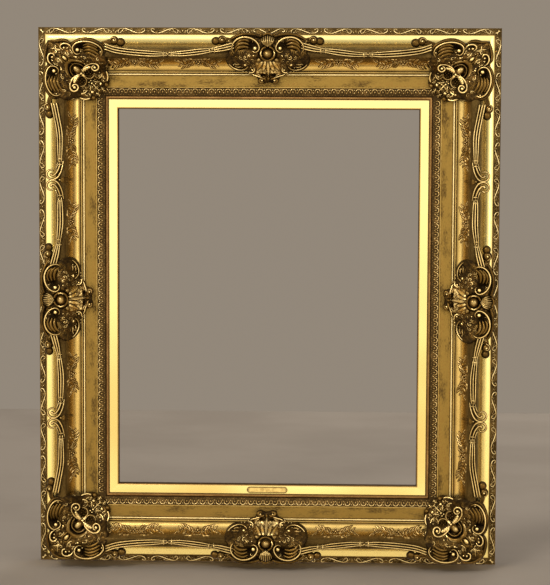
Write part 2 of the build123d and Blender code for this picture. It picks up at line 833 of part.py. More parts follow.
# Turn buttons that swing over the back of the picture
BUTTON_PLACE = 124.0
BUTTON_LEVELS = (330.0, -250.0)
BUTTON_GAP = 0.3
BUTTON_THICK = 1.6
BUTTON_HALF = 6.0
BUTTON_REACH = 40.0
BUTTON_BORE = 2.12
BUTTON_SHANK = 2.06
BUTTON_SCREW_HEAD = 4.2
BUTTON_HEAD_HEIGHT = 1.8


def turn_button(out, level):
    pivot = (out * (FRAME_WIDTH / 2 - BUTTON_PLACE), BUTTON_GAP, level)
    outline = [
        (-3, BUTTON_HALF), (3, BUTTON_HALF), (BUTTON_HALF, 3), (BUTTON_HALF - 1, -BUTTON_REACH + 3),
        (2, -BUTTON_REACH), (-2, -BUTTON_REACH), (-BUTTON_HALF + 1, -BUTTON_REACH + 3), (-BUTTON_HALF, 3),
    ]
    with BuildPart() as button:
        with BuildSketch(Plane(origin=pivot, x_dir=(-1, 0, 0), z_dir=(0, 1, 0))):
            Polygon(*outline, align=None)
            Circle(BUTTON_BORE, mode=Mode.SUBTRACT)
        extrude(amount=BUTTON_THICK)
    return button.part


def button_shank():
    """Round, because the turn button swings on it."""
    with BuildSketch() as shank:
        Circle(BUTTON_SHANK)
    return shank.sketch


def button_places():
    return [(out * (FRAME_WIDTH / 2 - BUTTON_PLACE), level) for out in (-1, 1) for level in BUTTON_LEVELS]


def drill(part, tools):
    with BuildPart() as drilled:
        add(part)
        for tool in tools:
            add(tool, mode=Mode.SUBTRACT)
    return drilled.part


keys = mitre_keys()
brads = liner_brads()
pins = title_plate_pins().moved(place("bottom"))
plate = title_plate().moved(place("bottom"))
strap_screws = pan_screws(
    strap_screw_places(), strap_shank(), STRAP_SCREW_HEAD, STRAP_THICK, STRAP_HEAD_HEIGHT
)
head_base = BUTTON_GAP * 2 + BUTTON_THICK
button_screws = pan_screws(button_places(), button_shank(), BUTTON_SCREW_HEAD, head_base, BUTTON_HEAD_HEIGHT)
save(keys, "mitre_keys")
save(brads, "liner_brads")
save(pins, "title_plate_pins")
save(plate, "title_plate")
save(strap_screws, "hanger_screws")
save(button_screws, "turn_button_screws")

for half_length, names in ((FRAME_WIDTH / 2, ("top", "bottom")), (FRAME_HEIGHT / 2, ("left", "right"))):
    back = moulding(back_rail_outline(), half_length)
    crest = moulding(crest_rail_outline(), half_length)
    frieze = moulding(frieze_rail_outline(), half_length)
    slip = moulding(liner_outline(), half_length)
    vine = edge_vine(half_length)
    leaves = sight_leaf(half_length)
    for name in names:
        fixings = [keys, brads] if name in ("top", "bottom") else [keys, brads, strap_screws, button_screws]
        liner = slip.moved(place(name))
        save(drill(back.moved(place(name)), fixings), f"back_rail_{name}")
        save(drill(liner, [pins]) if name == "bottom" else liner, f"liner_{name}")
        save(crest.moved(place(name)), f"crest_rail_{name}")
        save(frieze.moved(place(name)), f"frieze_rail_{name}")
        save(vine.moved(place(name)), f"edge_vine_{name}")
        save(leaves.moved(place(name)), f"sight_leaf_{name}")

centre = centre_ornament()
for name in SIDES:
    save(centre.moved(place(name)), f"centre_ornament_{name}")

corner = corner_ornament()
for name, (turn_x, turn_z) in CORNERS.items():
    piece = corner
    if turn_x > 0:
        piece = piece.mirror(Plane.YZ)
    if turn_z < 0:
        piece = piece.mirror(Plane.XY)
    outer_corner = Location((turn_x * FRAME_WIDTH / 2, 0, turn_z * FRAME_HEIGHT / 2))
    save(piece.moved(outer_corner), f"corner_ornament_{name}")

reeds = {"short": short_reeds(), "long": long_reeds()}
for name in SIDES:
    run = reeds["short" if name in ("top", "bottom") else "long"]
    save(run.moved(place(name)), f"reeds_{name}_a")
    save(run.mirror(Plane.YZ).moved(place(name)), f"reeds_{name}_b")

short_sprays = cove_spray((-250, -160, 160, 250))
long_sprays = cove_spray((-320, -185, 185, 320))
for name in SIDES:
    sprays = short_sprays if name in ("top", "bottom") else long_sprays
    save(sprays.moved(place(name)), f"cove_sprays_{name}")

for side in ("left", "right"):
    save(hanger_plate(side), f"hanger_plate_{side}")
    save(hanger_ring(side), f"hanger_ring_{side}")

for out, side in ((-1, "left"), (1, "right")):
    for level, height in zip(BUTTON_LEVELS, ("upper", "lower")):
        save(turn_button(out, level), f"turn_button_{side}_{height}")
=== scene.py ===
from math import atan2, cos, hypot, pi, radians, sin, sqrt, tau
import bpy
import bmesh
import numpy as np
from mathutils import Matrix, Vector
from mathutils.geometry import delaunay_2d_cdt


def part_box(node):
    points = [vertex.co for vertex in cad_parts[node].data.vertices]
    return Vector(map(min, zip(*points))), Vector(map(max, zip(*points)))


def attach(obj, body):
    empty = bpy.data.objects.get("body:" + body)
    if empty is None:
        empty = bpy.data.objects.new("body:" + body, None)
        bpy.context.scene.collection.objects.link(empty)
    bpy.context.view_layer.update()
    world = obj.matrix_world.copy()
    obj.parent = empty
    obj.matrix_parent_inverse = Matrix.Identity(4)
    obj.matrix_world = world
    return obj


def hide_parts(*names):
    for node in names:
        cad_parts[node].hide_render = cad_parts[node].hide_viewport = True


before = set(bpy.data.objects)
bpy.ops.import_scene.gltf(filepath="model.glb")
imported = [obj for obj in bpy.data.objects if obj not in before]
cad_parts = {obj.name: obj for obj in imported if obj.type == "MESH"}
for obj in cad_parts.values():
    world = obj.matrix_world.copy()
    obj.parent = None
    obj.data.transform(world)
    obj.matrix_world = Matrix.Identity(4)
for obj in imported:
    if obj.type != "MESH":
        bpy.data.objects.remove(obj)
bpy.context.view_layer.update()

# Backing rails. Four flat pine boards, mitred and keyed at the corners, carry the whole frame.
# They are bare sawn wood, gone brown with age, and are seen only from behind.
MM = 0.001
FRAME_WIDTH = 920.0
FRAME_HEIGHT = 1074.0
SIDES = {"top": (0, 1, 0), "right": (1, 0, 90), "bottom": (0, -1, 180), "left": (-1, 0, 270)}


def feed(tree, node, values):
    """Feeds the sockets of a node with links or plain values."""
    for socket, value in values.items():
        if isinstance(value, bpy.types.NodeSocket):
            tree.links.new(value, node.inputs[socket])
        else:
            node.inputs[socket].default_value = value
    return node


def add_node(tree, kind, values=None, **settings):
    made = tree.nodes.new(kind)
    for name, value in settings.items():
        setattr(made, name, value)
    return feed(tree, made, values or {})


def effect(name, inputs, outputs):
    """An empty shader group, its inputs and its last node. An input without a value is a place and one
    with four values a colour; the output Color is a colour, and the others are numbers."""
    tree = bpy.data.node_groups.new(name, "ShaderNodeTree")
    for label, value in inputs.items():
        kind = "Vector" if value is None else "Color" if isinstance(value, tuple) else "Float"
        socket = tree.interface.new_socket(label, in_out="INPUT", socket_type="NodeSocket" + kind)
        if value is not None:
            socket.default_value = value
    for label in outputs:
        kind = "Color" if label == "Color" else "Float"
        tree.interface.new_socket(label, in_out="OUTPUT", socket_type="NodeSocket" + kind)
    return tree, tree.nodes.new("NodeGroupInput").outputs, tree.nodes.new("NodeGroupOutput")


def maths(tree, what, a, b=0.0, clamp=False):
    return add_node(tree, "ShaderNodeMath", {0: a, 1: b}, operation=what, use_clamp=clamp).outputs[0]


def times(tree, a, b):
    return maths(tree, "MULTIPLY", a, b)


def plus(tree, a, b):
    return maths(tree, "ADD", a, b)


def minus(tree, a, b):
    return maths(tree, "SUBTRACT", a, b)


def size_of(tree, a):
    return maths(tree, "ABSOLUTE", a)


def blend_colour(tree, share, a, b):
    return add_node(tree, "ShaderNodeMix", {0: share, 6: a, 7: b}, data_type="RGBA").outputs[2]


def spread(tree, value, low, high, to_low=0.0, to_high=1.0):
    """A value stretched smoothly from one range to another, and held at its ends."""
    feeds = {0: value, 1: low, 2: high, 3: to_low, 4: to_high}
    return add_node(tree, "ShaderNodeMapRange", feeds, interpolation_type="SMOOTHSTEP").outputs[0]


def noise(tree, place, scale, detail, **more):
    return add_node(tree, "ShaderNodeTexNoise", {"Vector": place, "Scale": scale, "Detail": detail,
                                                 **more}).outputs


def drawn_out(tree, place, factors):
    return add_node(tree, "ShaderNodeVectorMath", {0: place, 1: factors}, operation="MULTIPLY").outputs[0]


def split(tree, place):
    """The three numbers of a place."""
    return add_node(tree, "ShaderNodeSeparateXYZ", {0: place}).outputs


def here(tree):
    """The place in metres from the middle of the frame."""
    return add_node(tree, "ShaderNodeTexCoord").outputs["Object"]


def grain_effect():
    """Sawn softwood: long wavering grain, darker late wood and grime."""
    tree, given, end = effect(
        "sawn_grain", {"Place": None, "Early": (0.42, 0.27, 0.14, 1), "Late": (0.22, 0.12, 0.055, 1)},
        ("Color", "Rough", "Height"))
    place, rings_per_metre = given["Place"], 540.0
    warp = noise(tree, drawn_out(tree, place, (0.22, 1.0, 1.0)), 6.0, 2.0, Roughness=0.4)["Color"]
    bent = add_node(tree, "ShaderNodeVectorMath", {0: warp, 3: 0.07}, operation="SCALE").outputs[0]
    moved = add_node(tree, "ShaderNodeVectorMath", {0: place, 1: bent}, operation="ADD").outputs[0]
    rings = maths(tree, "SINE", times(tree, split(tree, moved)[1], rings_per_metre))
    fibre = noise(tree, drawn_out(tree, place, (25.0, 900.0, 900.0)), 1.0, 4.0)[0]
    grime = noise(tree, place, 11.0, 5.0)[0]
    wood = blend_colour(tree, spread(tree, rings, -0.2, 1.0, 0.0, 0.8), given["Early"], given["Late"])
    wood = blend_colour(tree, spread(tree, fibre, 0.3, 0.75, 0.0, 0.45), wood, (0.09, 0.055, 0.03, 1))
    wood = blend_colour(tree, spread(tree, grime, 0.45, 0.75, 0.0, 0.5), wood, (0.12, 0.09, 0.06, 1))
    feed(tree, end, {"Color": wood, "Rough": spread(tree, fibre, 0.2, 0.8, 0.62, 0.9), "Height": fibre})
    return tree


def finish(name):
    """A new material with its tree and its one surface shader."""
    material = bpy.data.materials.new(name)
    material.use_nodes = True
    tree = material.node_tree
    return material, tree, tree.nodes["Principled BSDF"]


def bump(tree, shader, height, strength, distance):
    made = add_node(tree, "ShaderNodeBump", {"Height": height, "Strength": strength, "Distance": distance})
    feed(tree, shader, {"Normal": made.outputs[0]})


SAWN_GRAIN = grain_effect()


def wood_finish(name, early, late, turn, mitred=0.85):
    """Sawn wood with its grain turned by an angle; mitred is how dark the mitre joints are."""
    material, tree, shader = finish(name)
    laid = {"Vector": here(tree), "Rotation": (radians(90), 0, turn)}
    laid = add_node(tree, "ShaderNodeMapping", laid).outputs[0]
    wood = {"Place": laid, "Early": early, "Late": late}
    wood = add_node(tree, "ShaderNodeGroup", wood, node_tree=SAWN_GRAIN).outputs
    corner = split(tree, here(tree))
    to_side = minus(tree, FRAME_WIDTH / 2 * MM, size_of(tree, corner[0]))
    to_end = minus(tree, FRAME_HEIGHT / 2 * MM, size_of(tree, corner[2]))
    joint_line = spread(tree, size_of(tree, minus(tree, to_side, to_end)), 0.0022, 0.0012, 0.0, mitred)
    colour = blend_colour(tree, joint_line, wood["Color"], (0.035, 0.02, 0.012, 1))
    feed(tree, shader, {"Base Color": colour, "Roughness": wood["Rough"]})
    bump(tree, shader, wood["Height"], 0.5, 0.0006)
    return material


def dress(node, material):
    """Gives a node of the frame its finish."""
    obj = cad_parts[node]
    if not obj.material_slots:
        obj.data.materials.append(material)
    for holder in obj.material_slots:
        holder.material = material


PINE = (0.40, 0.26, 0.13, 1), (0.25, 0.14, 0.065, 1)
pine_across = wood_finish("aged_pine_across", *PINE, 0.0)
pine_upright = wood_finish("aged_pine_upright", *PINE, radians(90))
for side in SIDES:
    dress(f"back_rail_{side}", pine_across if side in ("top", "bottom") else pine_upright)

# Crest rails. The tall outer members: a bed for the vine, a deep burnished hollow, the crest and the cove
# inside it. Each is one mitred length of gessoed wood, water gilt over red clay and toned, with shade painted
# on the steep wall of the hollow under the crest and on the top of the cove under the reeds.
HOLLOW_START, HOLLOW_WIDE, HOLLOW_TOP, HOLLOW_DEEP = 16.5, 28.5, 99, 71
COVE_END, COVE_WIDE, COVE_TOP, COVE_DEEP = 86.5, 23, 94, 43.4
CREST_TOP = 101.0
HOLLOW = [(HOLLOW_START + HOLLOW_WIDE * sin(a), HOLLOW_TOP - HOLLOW_DEEP * cos(a))
          for a in np.linspace(0, pi / 2, 29)]
COVE = [(COVE_END - COVE_WIDE * cos(a), COVE_TOP - COVE_DEEP * sin(a)) for a in np.linspace(0, pi / 2, 21)]


def bead(start, end, foot, top, far_foot=None, count=11):
    """A small half round between two stations."""
    middle, reach = (start + end) / 2, (end - start) / 2
    line = []
    for a in np.linspace(pi, 0, count):
        base = foot if far_foot is None or a > pi / 2 else far_foot
        line.append((middle + reach * cos(a), base + (top - base) * sin(a)))
    return line


CREST_PROFILE = [(91.2, 16), (1, 16), (1, 20), (14.8, 24.5), (14.8, 28)] + HOLLOW
CREST_PROFILE += [(45.7, 100.4), (46.8, CREST_TOP), (60.2, CREST_TOP), (61.6, 100.2), (62.5, 99), (63.2, 96)]
CREST_PROFILE += COVE + bead(COVE_END, 91.2, 49.5, 51.8)


def shaping(name, **inputs):
    """An empty geometry tree that takes a mesh, its sizes and a finish, and its two ends."""
    tree = bpy.data.node_groups.new(name, "GeometryNodeTree")
    for label, kind in {"Geometry": "Geometry", **inputs, "Finish": "Material"}.items():
        label = label.replace("_", " ")
        tree.interface.new_socket(label, in_out="INPUT", socket_type="NodeSocket" + kind)
    tree.interface.new_socket("Geometry", in_out="OUTPUT", socket_type="NodeSocketGeometry")
    return tree, tree.nodes.new("NodeGroupInput").outputs, tree.nodes.new("NodeGroupOutput")


def mitring():
    """Geometry: a flat profile is drawn out along X and both ends are cut back at 45 degrees."""
    tree, given, end = shaping("mitred_length", Half_length="Float")
    drawn = {"Mesh": given[0], "Offset": (1.0, 0.0, 0.0), "Individual": False}
    drawn = add_node(tree, "GeometryNodeExtrudeMesh", drawn)
    both_ends = add_node(tree, "GeometryNodeJoinGeometry")
    tree.links.new(drawn.outputs[0], both_ends.inputs[0])
    tree.links.new(given[0], both_ends.inputs[0])
    welded = {"Geometry": both_ends.outputs[0], "Distance": 0.00001}
    welded = add_node(tree, "GeometryNodeMergeByDistance", welded).outputs[0]
    where = split(tree, add_node(tree, "GeometryNodeInputPosition").outputs[0])
    reach = plus(tree, given["Half length"], where[2])
    along = times(tree, minus(tree, times(tree, where[0], 2.0), 1.0), reach)
    place = add_node(tree, "ShaderNodeCombineXYZ", {0: along, 1: where[1], 2: where[2]}).outputs[0]
    cut = add_node(tree, "GeometryNodeSetPosition", {"Geometry": welded, "Position": place}).outputs[0]
    coated = {"Geometry": cut, "Material": given["Finish"]}
    coated = add_node(tree, "GeometryNodeSetMaterial", coated).outputs[0]
    real = add_node(tree, "GeometryNodeRealizeInstances", {"Geometry": coated}).outputs[0]
    tree.links.new(real, end.inputs[0])
    return tree


def grown(mesh, tree, **inputs):
    """The plain mesh that a geometry tree makes from a mesh, with the tree's inputs set by name."""
    obj = bpy.data.objects.new("bench", mesh)
    bpy.context.scene.collection.objects.link(obj)
    modifier = obj.modifiers.new("work", "NODES")
    modifier.node_group = tree
    sockets = {s.name: s.identifier for s in tree.interface.items_tree if s.in_out == "INPUT"}
    for label, value in inputs.items():
        modifier[sockets[label.replace("_", " ")]] = value
    bpy.context.view_layer.update()
    result = bpy.data.meshes.new_from_object(obj.evaluated_get(bpy.context.evaluated_depsgraph_get()))
    obj.modifiers.clear()
    bpy.data.objects.remove(obj)
    return result


def outward(mesh, sharp):
    """Faces turned outwards, smooth but for edges sharper than an angle."""
    shape = bmesh.new()
    shape.from_mesh(mesh)
    bmesh.ops.recalc_face_normals(shape, faces=shape.faces)
    shape.to_mesh(mesh)
    shape.free()
    mesh.shade_smooth()
    if sharp:
        mesh.set_sharp_from_angle(angle=radians(sharp))


def corners_of(mesh):
    points = np.zeros(len(mesh.vertices) * 3)
    mesh.vertices.foreach_get("co", points)
    return points.reshape(-1, 3)


def mark_crest(mesh, values):
    """How bright each point of the gilding is marked, from 0 in a hollow to 1 on a ridge: partly rubbed wear
    and glaze, partly painted highlight on crowns and painted shade in hollows and creases.
    """
    layer = mesh.attributes.get("crest") or mesh.attributes.new("crest", "FLOAT", "POINT")
    layer.data.foreach_set("value", np.clip(values, 0, 1.5).astype(np.float32))


def lay_out(mesh):
    """UV map: metres along the rail, and metres in from its outer edge."""
    points = corners_of(mesh)
    layer = mesh.uv_layers.get("lay") or mesh.uv_layers.new(name="lay")
    order = np.zeros(len(mesh.loops), np.int64)
    mesh.loops.foreach_get("vertex_index", order)
    layer.data.foreach_set("uv",
                           np.column_stack([points[order, 0], -points[order, 2]]).astype(np.float32).ravel())


def moulded(profile, half_length, crest_line, back=22.0):
    """A mitred length of moulding; crest_line gives the crest mark against the station (rubbed wear, with
    painted highlight and painted shade), and back is the height below which the wood is left ungilded and
    brown."""
    flat = bpy.data.meshes.new("profile")
    flat.from_pydata([(0, -h * MM, -s * MM) for s, h in profile], [], [list(range(len(profile)))])
    mesh = grown(flat, MITRING, Half_length=half_length * MM)
    outward(mesh, 35)
    stations, rub_and_light = zip(*crest_line)
    points = corners_of(mesh) / MM
    mark_crest(mesh, np.where(-points[:, 1] < back, 0.0, np.interp(-points[:, 2], stations, rub_and_light)))
    lay_out(mesh)
    return mesh


def on_side(mesh, side):
    """A copy of a mesh drawn along X, turned and moved to its side of the frame."""
    out_x, out_z, turn = SIDES[side]
    copy = mesh.copy()
    centre = Vector((out_x * FRAME_WIDTH / 2, 0, out_z * FRAME_HEIGHT / 2)) * MM
    copy.transform(Matrix.Translation(centre) @ Matrix.Rotation(radians(turn), 4, "Y"))
    return copy


def piece(name, mesh, material, slot, *nodes, body="frame"):
    """A piece in one finish that rides on a body and stands in for nodes of the frame."""
    obj = bpy.data.objects.new(name, mesh)
    mesh.name = name
    mesh.materials.clear()
    mesh.materials.append(material)
    bpy.context.scene.collection.objects.link(obj)
    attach(obj, body)
    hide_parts(*nodes)


def half_of(side):
    return (FRAME_WIDTH if side in ("top", "bottom") else FRAME_HEIGHT) / 2


MITRING = mitring()


def rails(name, nodes, profile, rub_and_light, material, slot, back=22.0):
    """The four mitred lengths of one moulding."""
    for side in SIDES:
        mesh = moulded(profile, half_of(side), rub_and_light, back)
        piece(f"{name}_{side}", on_side(mesh, side), material, slot, f"{nodes}_{side}")


def gilding_effect():
    """Old gold leaf coloured from the crest mark: bright on ridges, bronzed on slopes, glazed in hollows,
    rubbed to clay in places; the painted highlights and painted shade in the mark come through in this
    colour.
    """
    tree, given, end = effect(
        "worn_leaf",
        {"Place": None, "Crest": 0.5, "Gold": (1.0, 0.7, 0.22, 1), "Bronze": (0.33, 0.18, 0.05, 1),
         "Glaze": (0.03, 0.017, 0.006, 1), "Clay": (0.22, 0.045, 0.02, 1), "Rubbing": 0.3, "Size": 1.0,
         "Mottle": 1.0, "Polish": 0.3},
        ("Color", "Rough", "Metal", "Height"))
    place, size = given["Place"], given["Size"]
    coarse = noise(tree, place, times(tree, size, 38.0), 5.0, Roughness=0.6)[0]
    fine = noise(tree, place, times(tree, size, 420.0), 4.0, Roughness=0.65)[0]
    waver = times(tree, minus(tree, coarse, 0.5), 0.55)
    specks = times(tree, minus(tree, fine, 0.5), 0.4)
    stir = times(tree, plus(tree, waver, specks), given["Mottle"])
    height = plus(tree, given["Crest"], stir)
    ridge, hollow = spread(tree, height, 0.5, 0.95), spread(tree, height, 0.34, 0.04)
    worn = spread(tree, plus(tree, times(tree, fine, 0.6), times(tree, coarse, 0.6)), 0.66, 0.76)
    worn = times(tree, worn, given["Rubbing"])
    leaf = blend_colour(tree, ridge, given["Bronze"], given["Gold"])
    leaf = blend_colour(tree, worn, leaf, given["Clay"])
    leaf = blend_colour(tree, hollow, leaf, given["Glaze"])
    rough = plus(tree, given["Polish"], times(tree, fine, 0.12))
    rough = maths(tree, "ADD", rough, times(tree, hollow, 0.2), clamp=True)
    dull = maths(tree, "MAXIMUM", times(tree, hollow, 0.7), times(tree, worn, 0.8))
    metal = maths(tree, "SUBTRACT", 0.95, dull, clamp=True)
    relief = plus(tree, times(tree, coarse, 0.5), fine)
    feed(tree, end, {"Color": leaf, "Rough": rough, "Metal": metal, "Height": relief})
    return tree


WORN_LEAF = gilding_effect()


def rail_place(tree):
    """The place along and across a rail."""
    return add_node(tree, "ShaderNodeUVMap", uv_map="lay").outputs[0]


def gilded(name, gold, bronze, glaze, polish, rubbing=0.25, size=1.0, mottle=1.0,
           clay=(0.22, 0.045, 0.02, 1), relief=0.25, streaks=None):
    """A gilded finish; streaks, if given, stretches its pattern along the rail's UV map."""
    material, tree, shader = finish(name)
    if streaks:
        place = add_node(tree, "ShaderNodeMapping", {"Vector": rail_place(tree), "Scale": streaks}).outputs[0]
    else:
        place = here(tree)
    crest = add_node(tree, "ShaderNodeAttribute", attribute_name="crest").outputs["Fac"]
    leaf = add_node(
        tree, "ShaderNodeGroup",
        {"Place": place, "Crest": crest, "Gold": gold, "Bronze": bronze, "Glaze": glaze, "Clay": clay,
         "Rubbing": rubbing, "Size": size, "Mottle": mottle, "Polish": polish}, node_tree=WORN_LEAF)
    made = leaf.outputs
    feed(tree, shader, {"Base Color": made["Color"], "Roughness": made["Rough"], "Metallic": made["Metal"],
                        "Specular IOR Level": 0.04})
    bump(tree, shader, made["Height"], relief, 0.0008)
    return material, tree, leaf


def netting():
    """A fine slanted net scratched into the cove, seen from the rail's UV map."""
    tree, given, end = effect("scratched_net", {"Lay": None}, ("Net",))
    along, inwards = split(tree, given["Lay"])[:2]
    mesh_size = 0.0034
    lines = []
    for slant in (1.2, -1.2):
        phase = times(tree, plus(tree, along, times(tree, inwards, slant)), pi / mesh_size)
        lines.append(spread(tree, size_of(tree, maths(tree, "SINE", phase)), 0.35, 0.0))
    in_cove = times(tree, spread(tree, inwards, 0.0640, 0.0665), spread(tree, inwards, 0.0862, 0.0850))
    feed(tree, end, {"Net": times(tree, maths(tree, "MAXIMUM", *lines), in_cove)})
    return tree


crest_gilding, crest_tree, crest_leaf = gilded(
    "burnished_crest_gold", (1.0, 0.82, 0.34, 1), (0.27, 0.17, 0.045, 1), (0.06, 0.032, 0.007, 1), 0.2, 0.2,
    mottle=0.55, streaks=(0.6, 1.0, 1.0), relief=0.1)
lay = rail_place(crest_tree)
net = add_node(crest_tree, "ShaderNodeGroup", {"Lay": lay}, node_tree=netting()).outputs["Net"]
crest_mark = add_node(crest_tree, "ShaderNodeAttribute", attribute_name="crest").outputs["Fac"]
# Painted shade: the gold turns darker from the middle of the hollow towards the crest, where the steep wall
# lies in shade.
inwards = spread(crest_tree, split(crest_tree, lay)[1], 0.030, 0.062)
feed(crest_tree, crest_leaf, {
    "Gold": blend_colour(crest_tree, inwards, (1.0, 0.79, 0.29, 1), (0.80, 0.54, 0.165, 1)),
    "Crest": minus(crest_tree, crest_mark, times(crest_tree, net, 0.22))})
# Mark across the rail: rubbed bright on the burnished hollow and the bead, with painted shade on the steep
# wall under the crest, at the top of the cove under the reeds and in the crease before the bead.
CREST_RUB_AND_SHADE = [(0, 0.4), (14.7, 0.5), (15, 0.9), (17, 1.1), (29, 1.1), (33, 0.62), (36.5, 0.36), (41, 0.14),
             (62, 0.1), (65.5, 0.25), (68, 0.62), (73, 0.92), (79, 0.88), (84, 0.7), (86.1, 0.1), (86.9, 0.1),
             (87.8, 0.7), (88.8, 0.8), (89.8, 0.5), (91.2, 0.0)]
rails("crest_moulding", "crest_rail", CREST_PROFILE, CREST_RUB_AND_SHADE, crest_gilding, "crest_gilding")

# Frieze rails. A flat member inside the crest rail: a bead, a plain frieze, the bed of the leaf strip
# and a small lip that stands over the liner. Matt gilt, toned brown and streaked along its length.
FRIEZE_PROFILE = [(91.3, 16)] + bead(91.3, 96, 49.5, 51.8, 48.7)
FRIEZE_PROFILE += [(97, 48.7), (117.4, 48.7), (118, 49.3), (119.2, 49.3), (119.95, 48.7), (119.95, 46.2),
                   (135.35, 42.5), (135.35, 41.2)]
FRIEZE_PROFILE += bead(135.45, 142.4, 41.2, 44.0)[1:] + [(142.4, 35), (136, 35), (136, 16)]
frieze_gilding, frieze_tree, frieze_leaf = gilded(
    "toned_frieze_gold", (0.66, 0.42, 0.12, 1), (0.30, 0.175, 0.036, 1), (0.10, 0.055, 0.016, 1), 0.42, 0.3,
    size=1.3, mottle=1.7, streaks=(0.35, 1.0, 1.0), relief=0.25)
station = split(frieze_tree, rail_place(frieze_tree))[1]
on_lip = spread(frieze_tree, station, 0.1346, 0.1356)
on_bead = spread(frieze_tree, station, 0.0963, 0.0958)
lip_red = blend_colour(frieze_tree, on_lip, (0.64, 0.42, 0.125, 1), (0.42, 0.24, 0.075, 1))
feed(frieze_tree, frieze_leaf, {
    "Gold": blend_colour(frieze_tree, on_bead, lip_red, (1.0, 0.78, 0.36, 1)),
    "Bronze": blend_colour(frieze_tree, on_lip, (0.29, 0.175, 0.038, 1), (0.17, 0.085, 0.025, 1))})
FRIEZE_RUB = [(91.2, 0.0), (92.0, 0.5), (93.0, 1.0), (94.2, 1.0), (95.2, 0.4), (96, 0.0), (97.5, 0.5),
              (104, 0.62), (114, 0.58), (117.2, 0.4), (117.7, 0.1), (118.3, 0.9), (119.3, 0.9), (120, 0.1),
              (135.4, 0.0), (136.5, 0.4), (139, 0.75), (141, 0.4), (142.5, 0.0)]
rails("frieze_moulding", "frieze_rail", FRIEZE_PROFILE, FRIEZE_RUB, frieze_gilding, "frieze_gilding", 36.0)

# Liner. The slip next to the picture: flat, burnished bright, with a bevelled sight edge marked dark as
# painted shade and a rabbet behind for the canvas; its gold is painted darker towards the bottom as shade.
# Four mitred lengths held by brads from behind.
LINER_PROFILE = [(136.05, 16), (136.05, 35), (142.8, 35), (142.8, 39.7), (143.1, 40), (158.2, 40),
                 (158.6, 39.9), (161.3, 37.1), (161.5, 36.8), (161.5, 24), (154, 24), (154, 16)]
liner_gilding, liner_tree, liner_leaf = gilded(
    "bright_liner_gold", (1.0, 0.83, 0.30, 1), (0.45, 0.27, 0.08, 1), (0.06, 0.032, 0.01, 1), 0.2, 0.0,
    size=0.5, mottle=0.3, streaks=(0.3, 1.0, 1.0), relief=0.02)
liner_place = here(liner_tree)
# Painted shade: the liner's gold turns darker and more orange towards the bottom of the frame, in cloudy
# patches.
lower_down = spread(liner_tree, split(liner_tree, liner_place)[2], 0.3, -0.3, 0.25, 1.0)
clouds = noise(liner_tree, liner_place, 3.0, 2.0)[0]
painted_low_shade = times(liner_tree, lower_down, spread(liner_tree, clouds, 0.35, 0.6))
feed(liner_tree, liner_leaf, {
    "Gold": blend_colour(liner_tree, painted_low_shade, (1.0, 0.83, 0.31, 1), (0.80, 0.60, 0.2, 1))})
# Mark across the liner: the burnished face bright, and the bevel of the sight edge near 0 as painted shade.
LINER_RUB_AND_SHADE = [(136, 0.3), (142.8, 0.6), (143.1, 1.3), (158.2, 1.3), (158.6, 0.4), (161.3, 0.02), (161.5, 0.0)]
rails("liner_slip", "liner", LINER_PROFILE, LINER_RUB_AND_SHADE, liner_gilding, "liner_gilding", 36.0)

# Edge vine. A strip of pressed composition along the outer edge: rosettes with lazy scrolls between
# them, on a ground that shows red clay. Glued on in lengths and mitred with the rails.
VINE_PERIOD = 137.4
HALF_PERIOD = VINE_PERIOD / 2
FIRST_ROSETTE = 82.1


def smooth(knots, count):
    """Even points on a flowing line through the knots; every column of a knot is carried along."""
    p = np.array(knots, float)
    p = np.vstack([2 * p[0] - p[1], p, 2 * p[-1] - p[-2]])
    t = np.linspace(0, 1, 16, endpoint=False)[:, None]
    runs = []
    for a, b, c, d in zip(p, p[1:], p[2:], p[3:]):
        runs.append(0.5 * (2 * b + (c - a) * t + (2 * a - 5 * b + 4 * c - d) * t**2
                           + (3 * b - a - 3 * c + d) * t**3))
    line = np.vstack(runs + [p[-2:-1]])
    run = np.r_[0, np.cumsum(np.linalg.norm(np.diff(line[:, :2], axis=0), axis=1))]
    want = np.linspace(0, run[-1], count)
    return np.column_stack([np.interp(want, run, line[:, i]) for i in range(line.shape[1])])


def roll(knots, spacing=2.0, sides=8, rise=1.0, deep=2.0, dark=0.05, bright=1.0, keen=2.0):
    """A rounded band through knots of (x, s, height of its crown, half width and, where wanted, how
    bright the painted highlight on its crown is); rise and deep are its height above and below its middle, in
    half widths."""
    rough = smooth(knots, 60)
    length = np.linalg.norm(np.diff(rough[:, :2], axis=0), axis=1).sum()
    line = smooth(knots, max(5, int(length / spacing)))
    step = np.gradient(line[:, :2], axis=0)
    step /= np.linalg.norm(step, axis=1)[:, None] + 1e-9
    angles = np.arange(sides) * 2 * pi / sides + pi / 2
    rings, crest = [], []
    light = line[:, 4] if line.shape[1] > 4 else np.ones(len(line))
    for (x, s, top, half), (tx, ts), lit in zip(line[:, :4], step, light):
        lift = np.where(np.sin(angles) > 0, rise * half, deep * half) * np.sin(angles)
        side = half * np.cos(angles)
        rings.append(np.column_stack([x - ts * side, s + tx * side, top - rise * half + lift]))
        # Painted highlight along the crown and painted shade underneath, with the rubbed wear of the gilding;
        # keen narrows the highlight.
        crest.append(dark + (bright * lit - dark) * np.clip(np.sin(angles), 0, 1) ** keen)
    ends = [[*(line[i, :2] + way * step[i] * line[i, 3] * 0.6), line[i, 2] - rise * line[i, 3]]
            for i, way in ((0, -1), (-1, 1))]
    points = np.vstack(rings + [ends])
    count = len(line)
    faces = []
    for i in range(count - 1):
        for j in range(sides):
            k = (j + 1) % sides
            faces.append((i * sides + j, i * sides + k, (i + 1) * sides + k, (i + 1) * sides + j))
    last = (count - 1) * sides
    for j in range(sides):
        k = (j + 1) % sides
        faces.append((count * sides, j, k))
        faces.append((count * sides + 1, last + k, last + j))
    return points, faces, np.concatenate(crest + [[0.3 * bright, 0.3 * bright]])


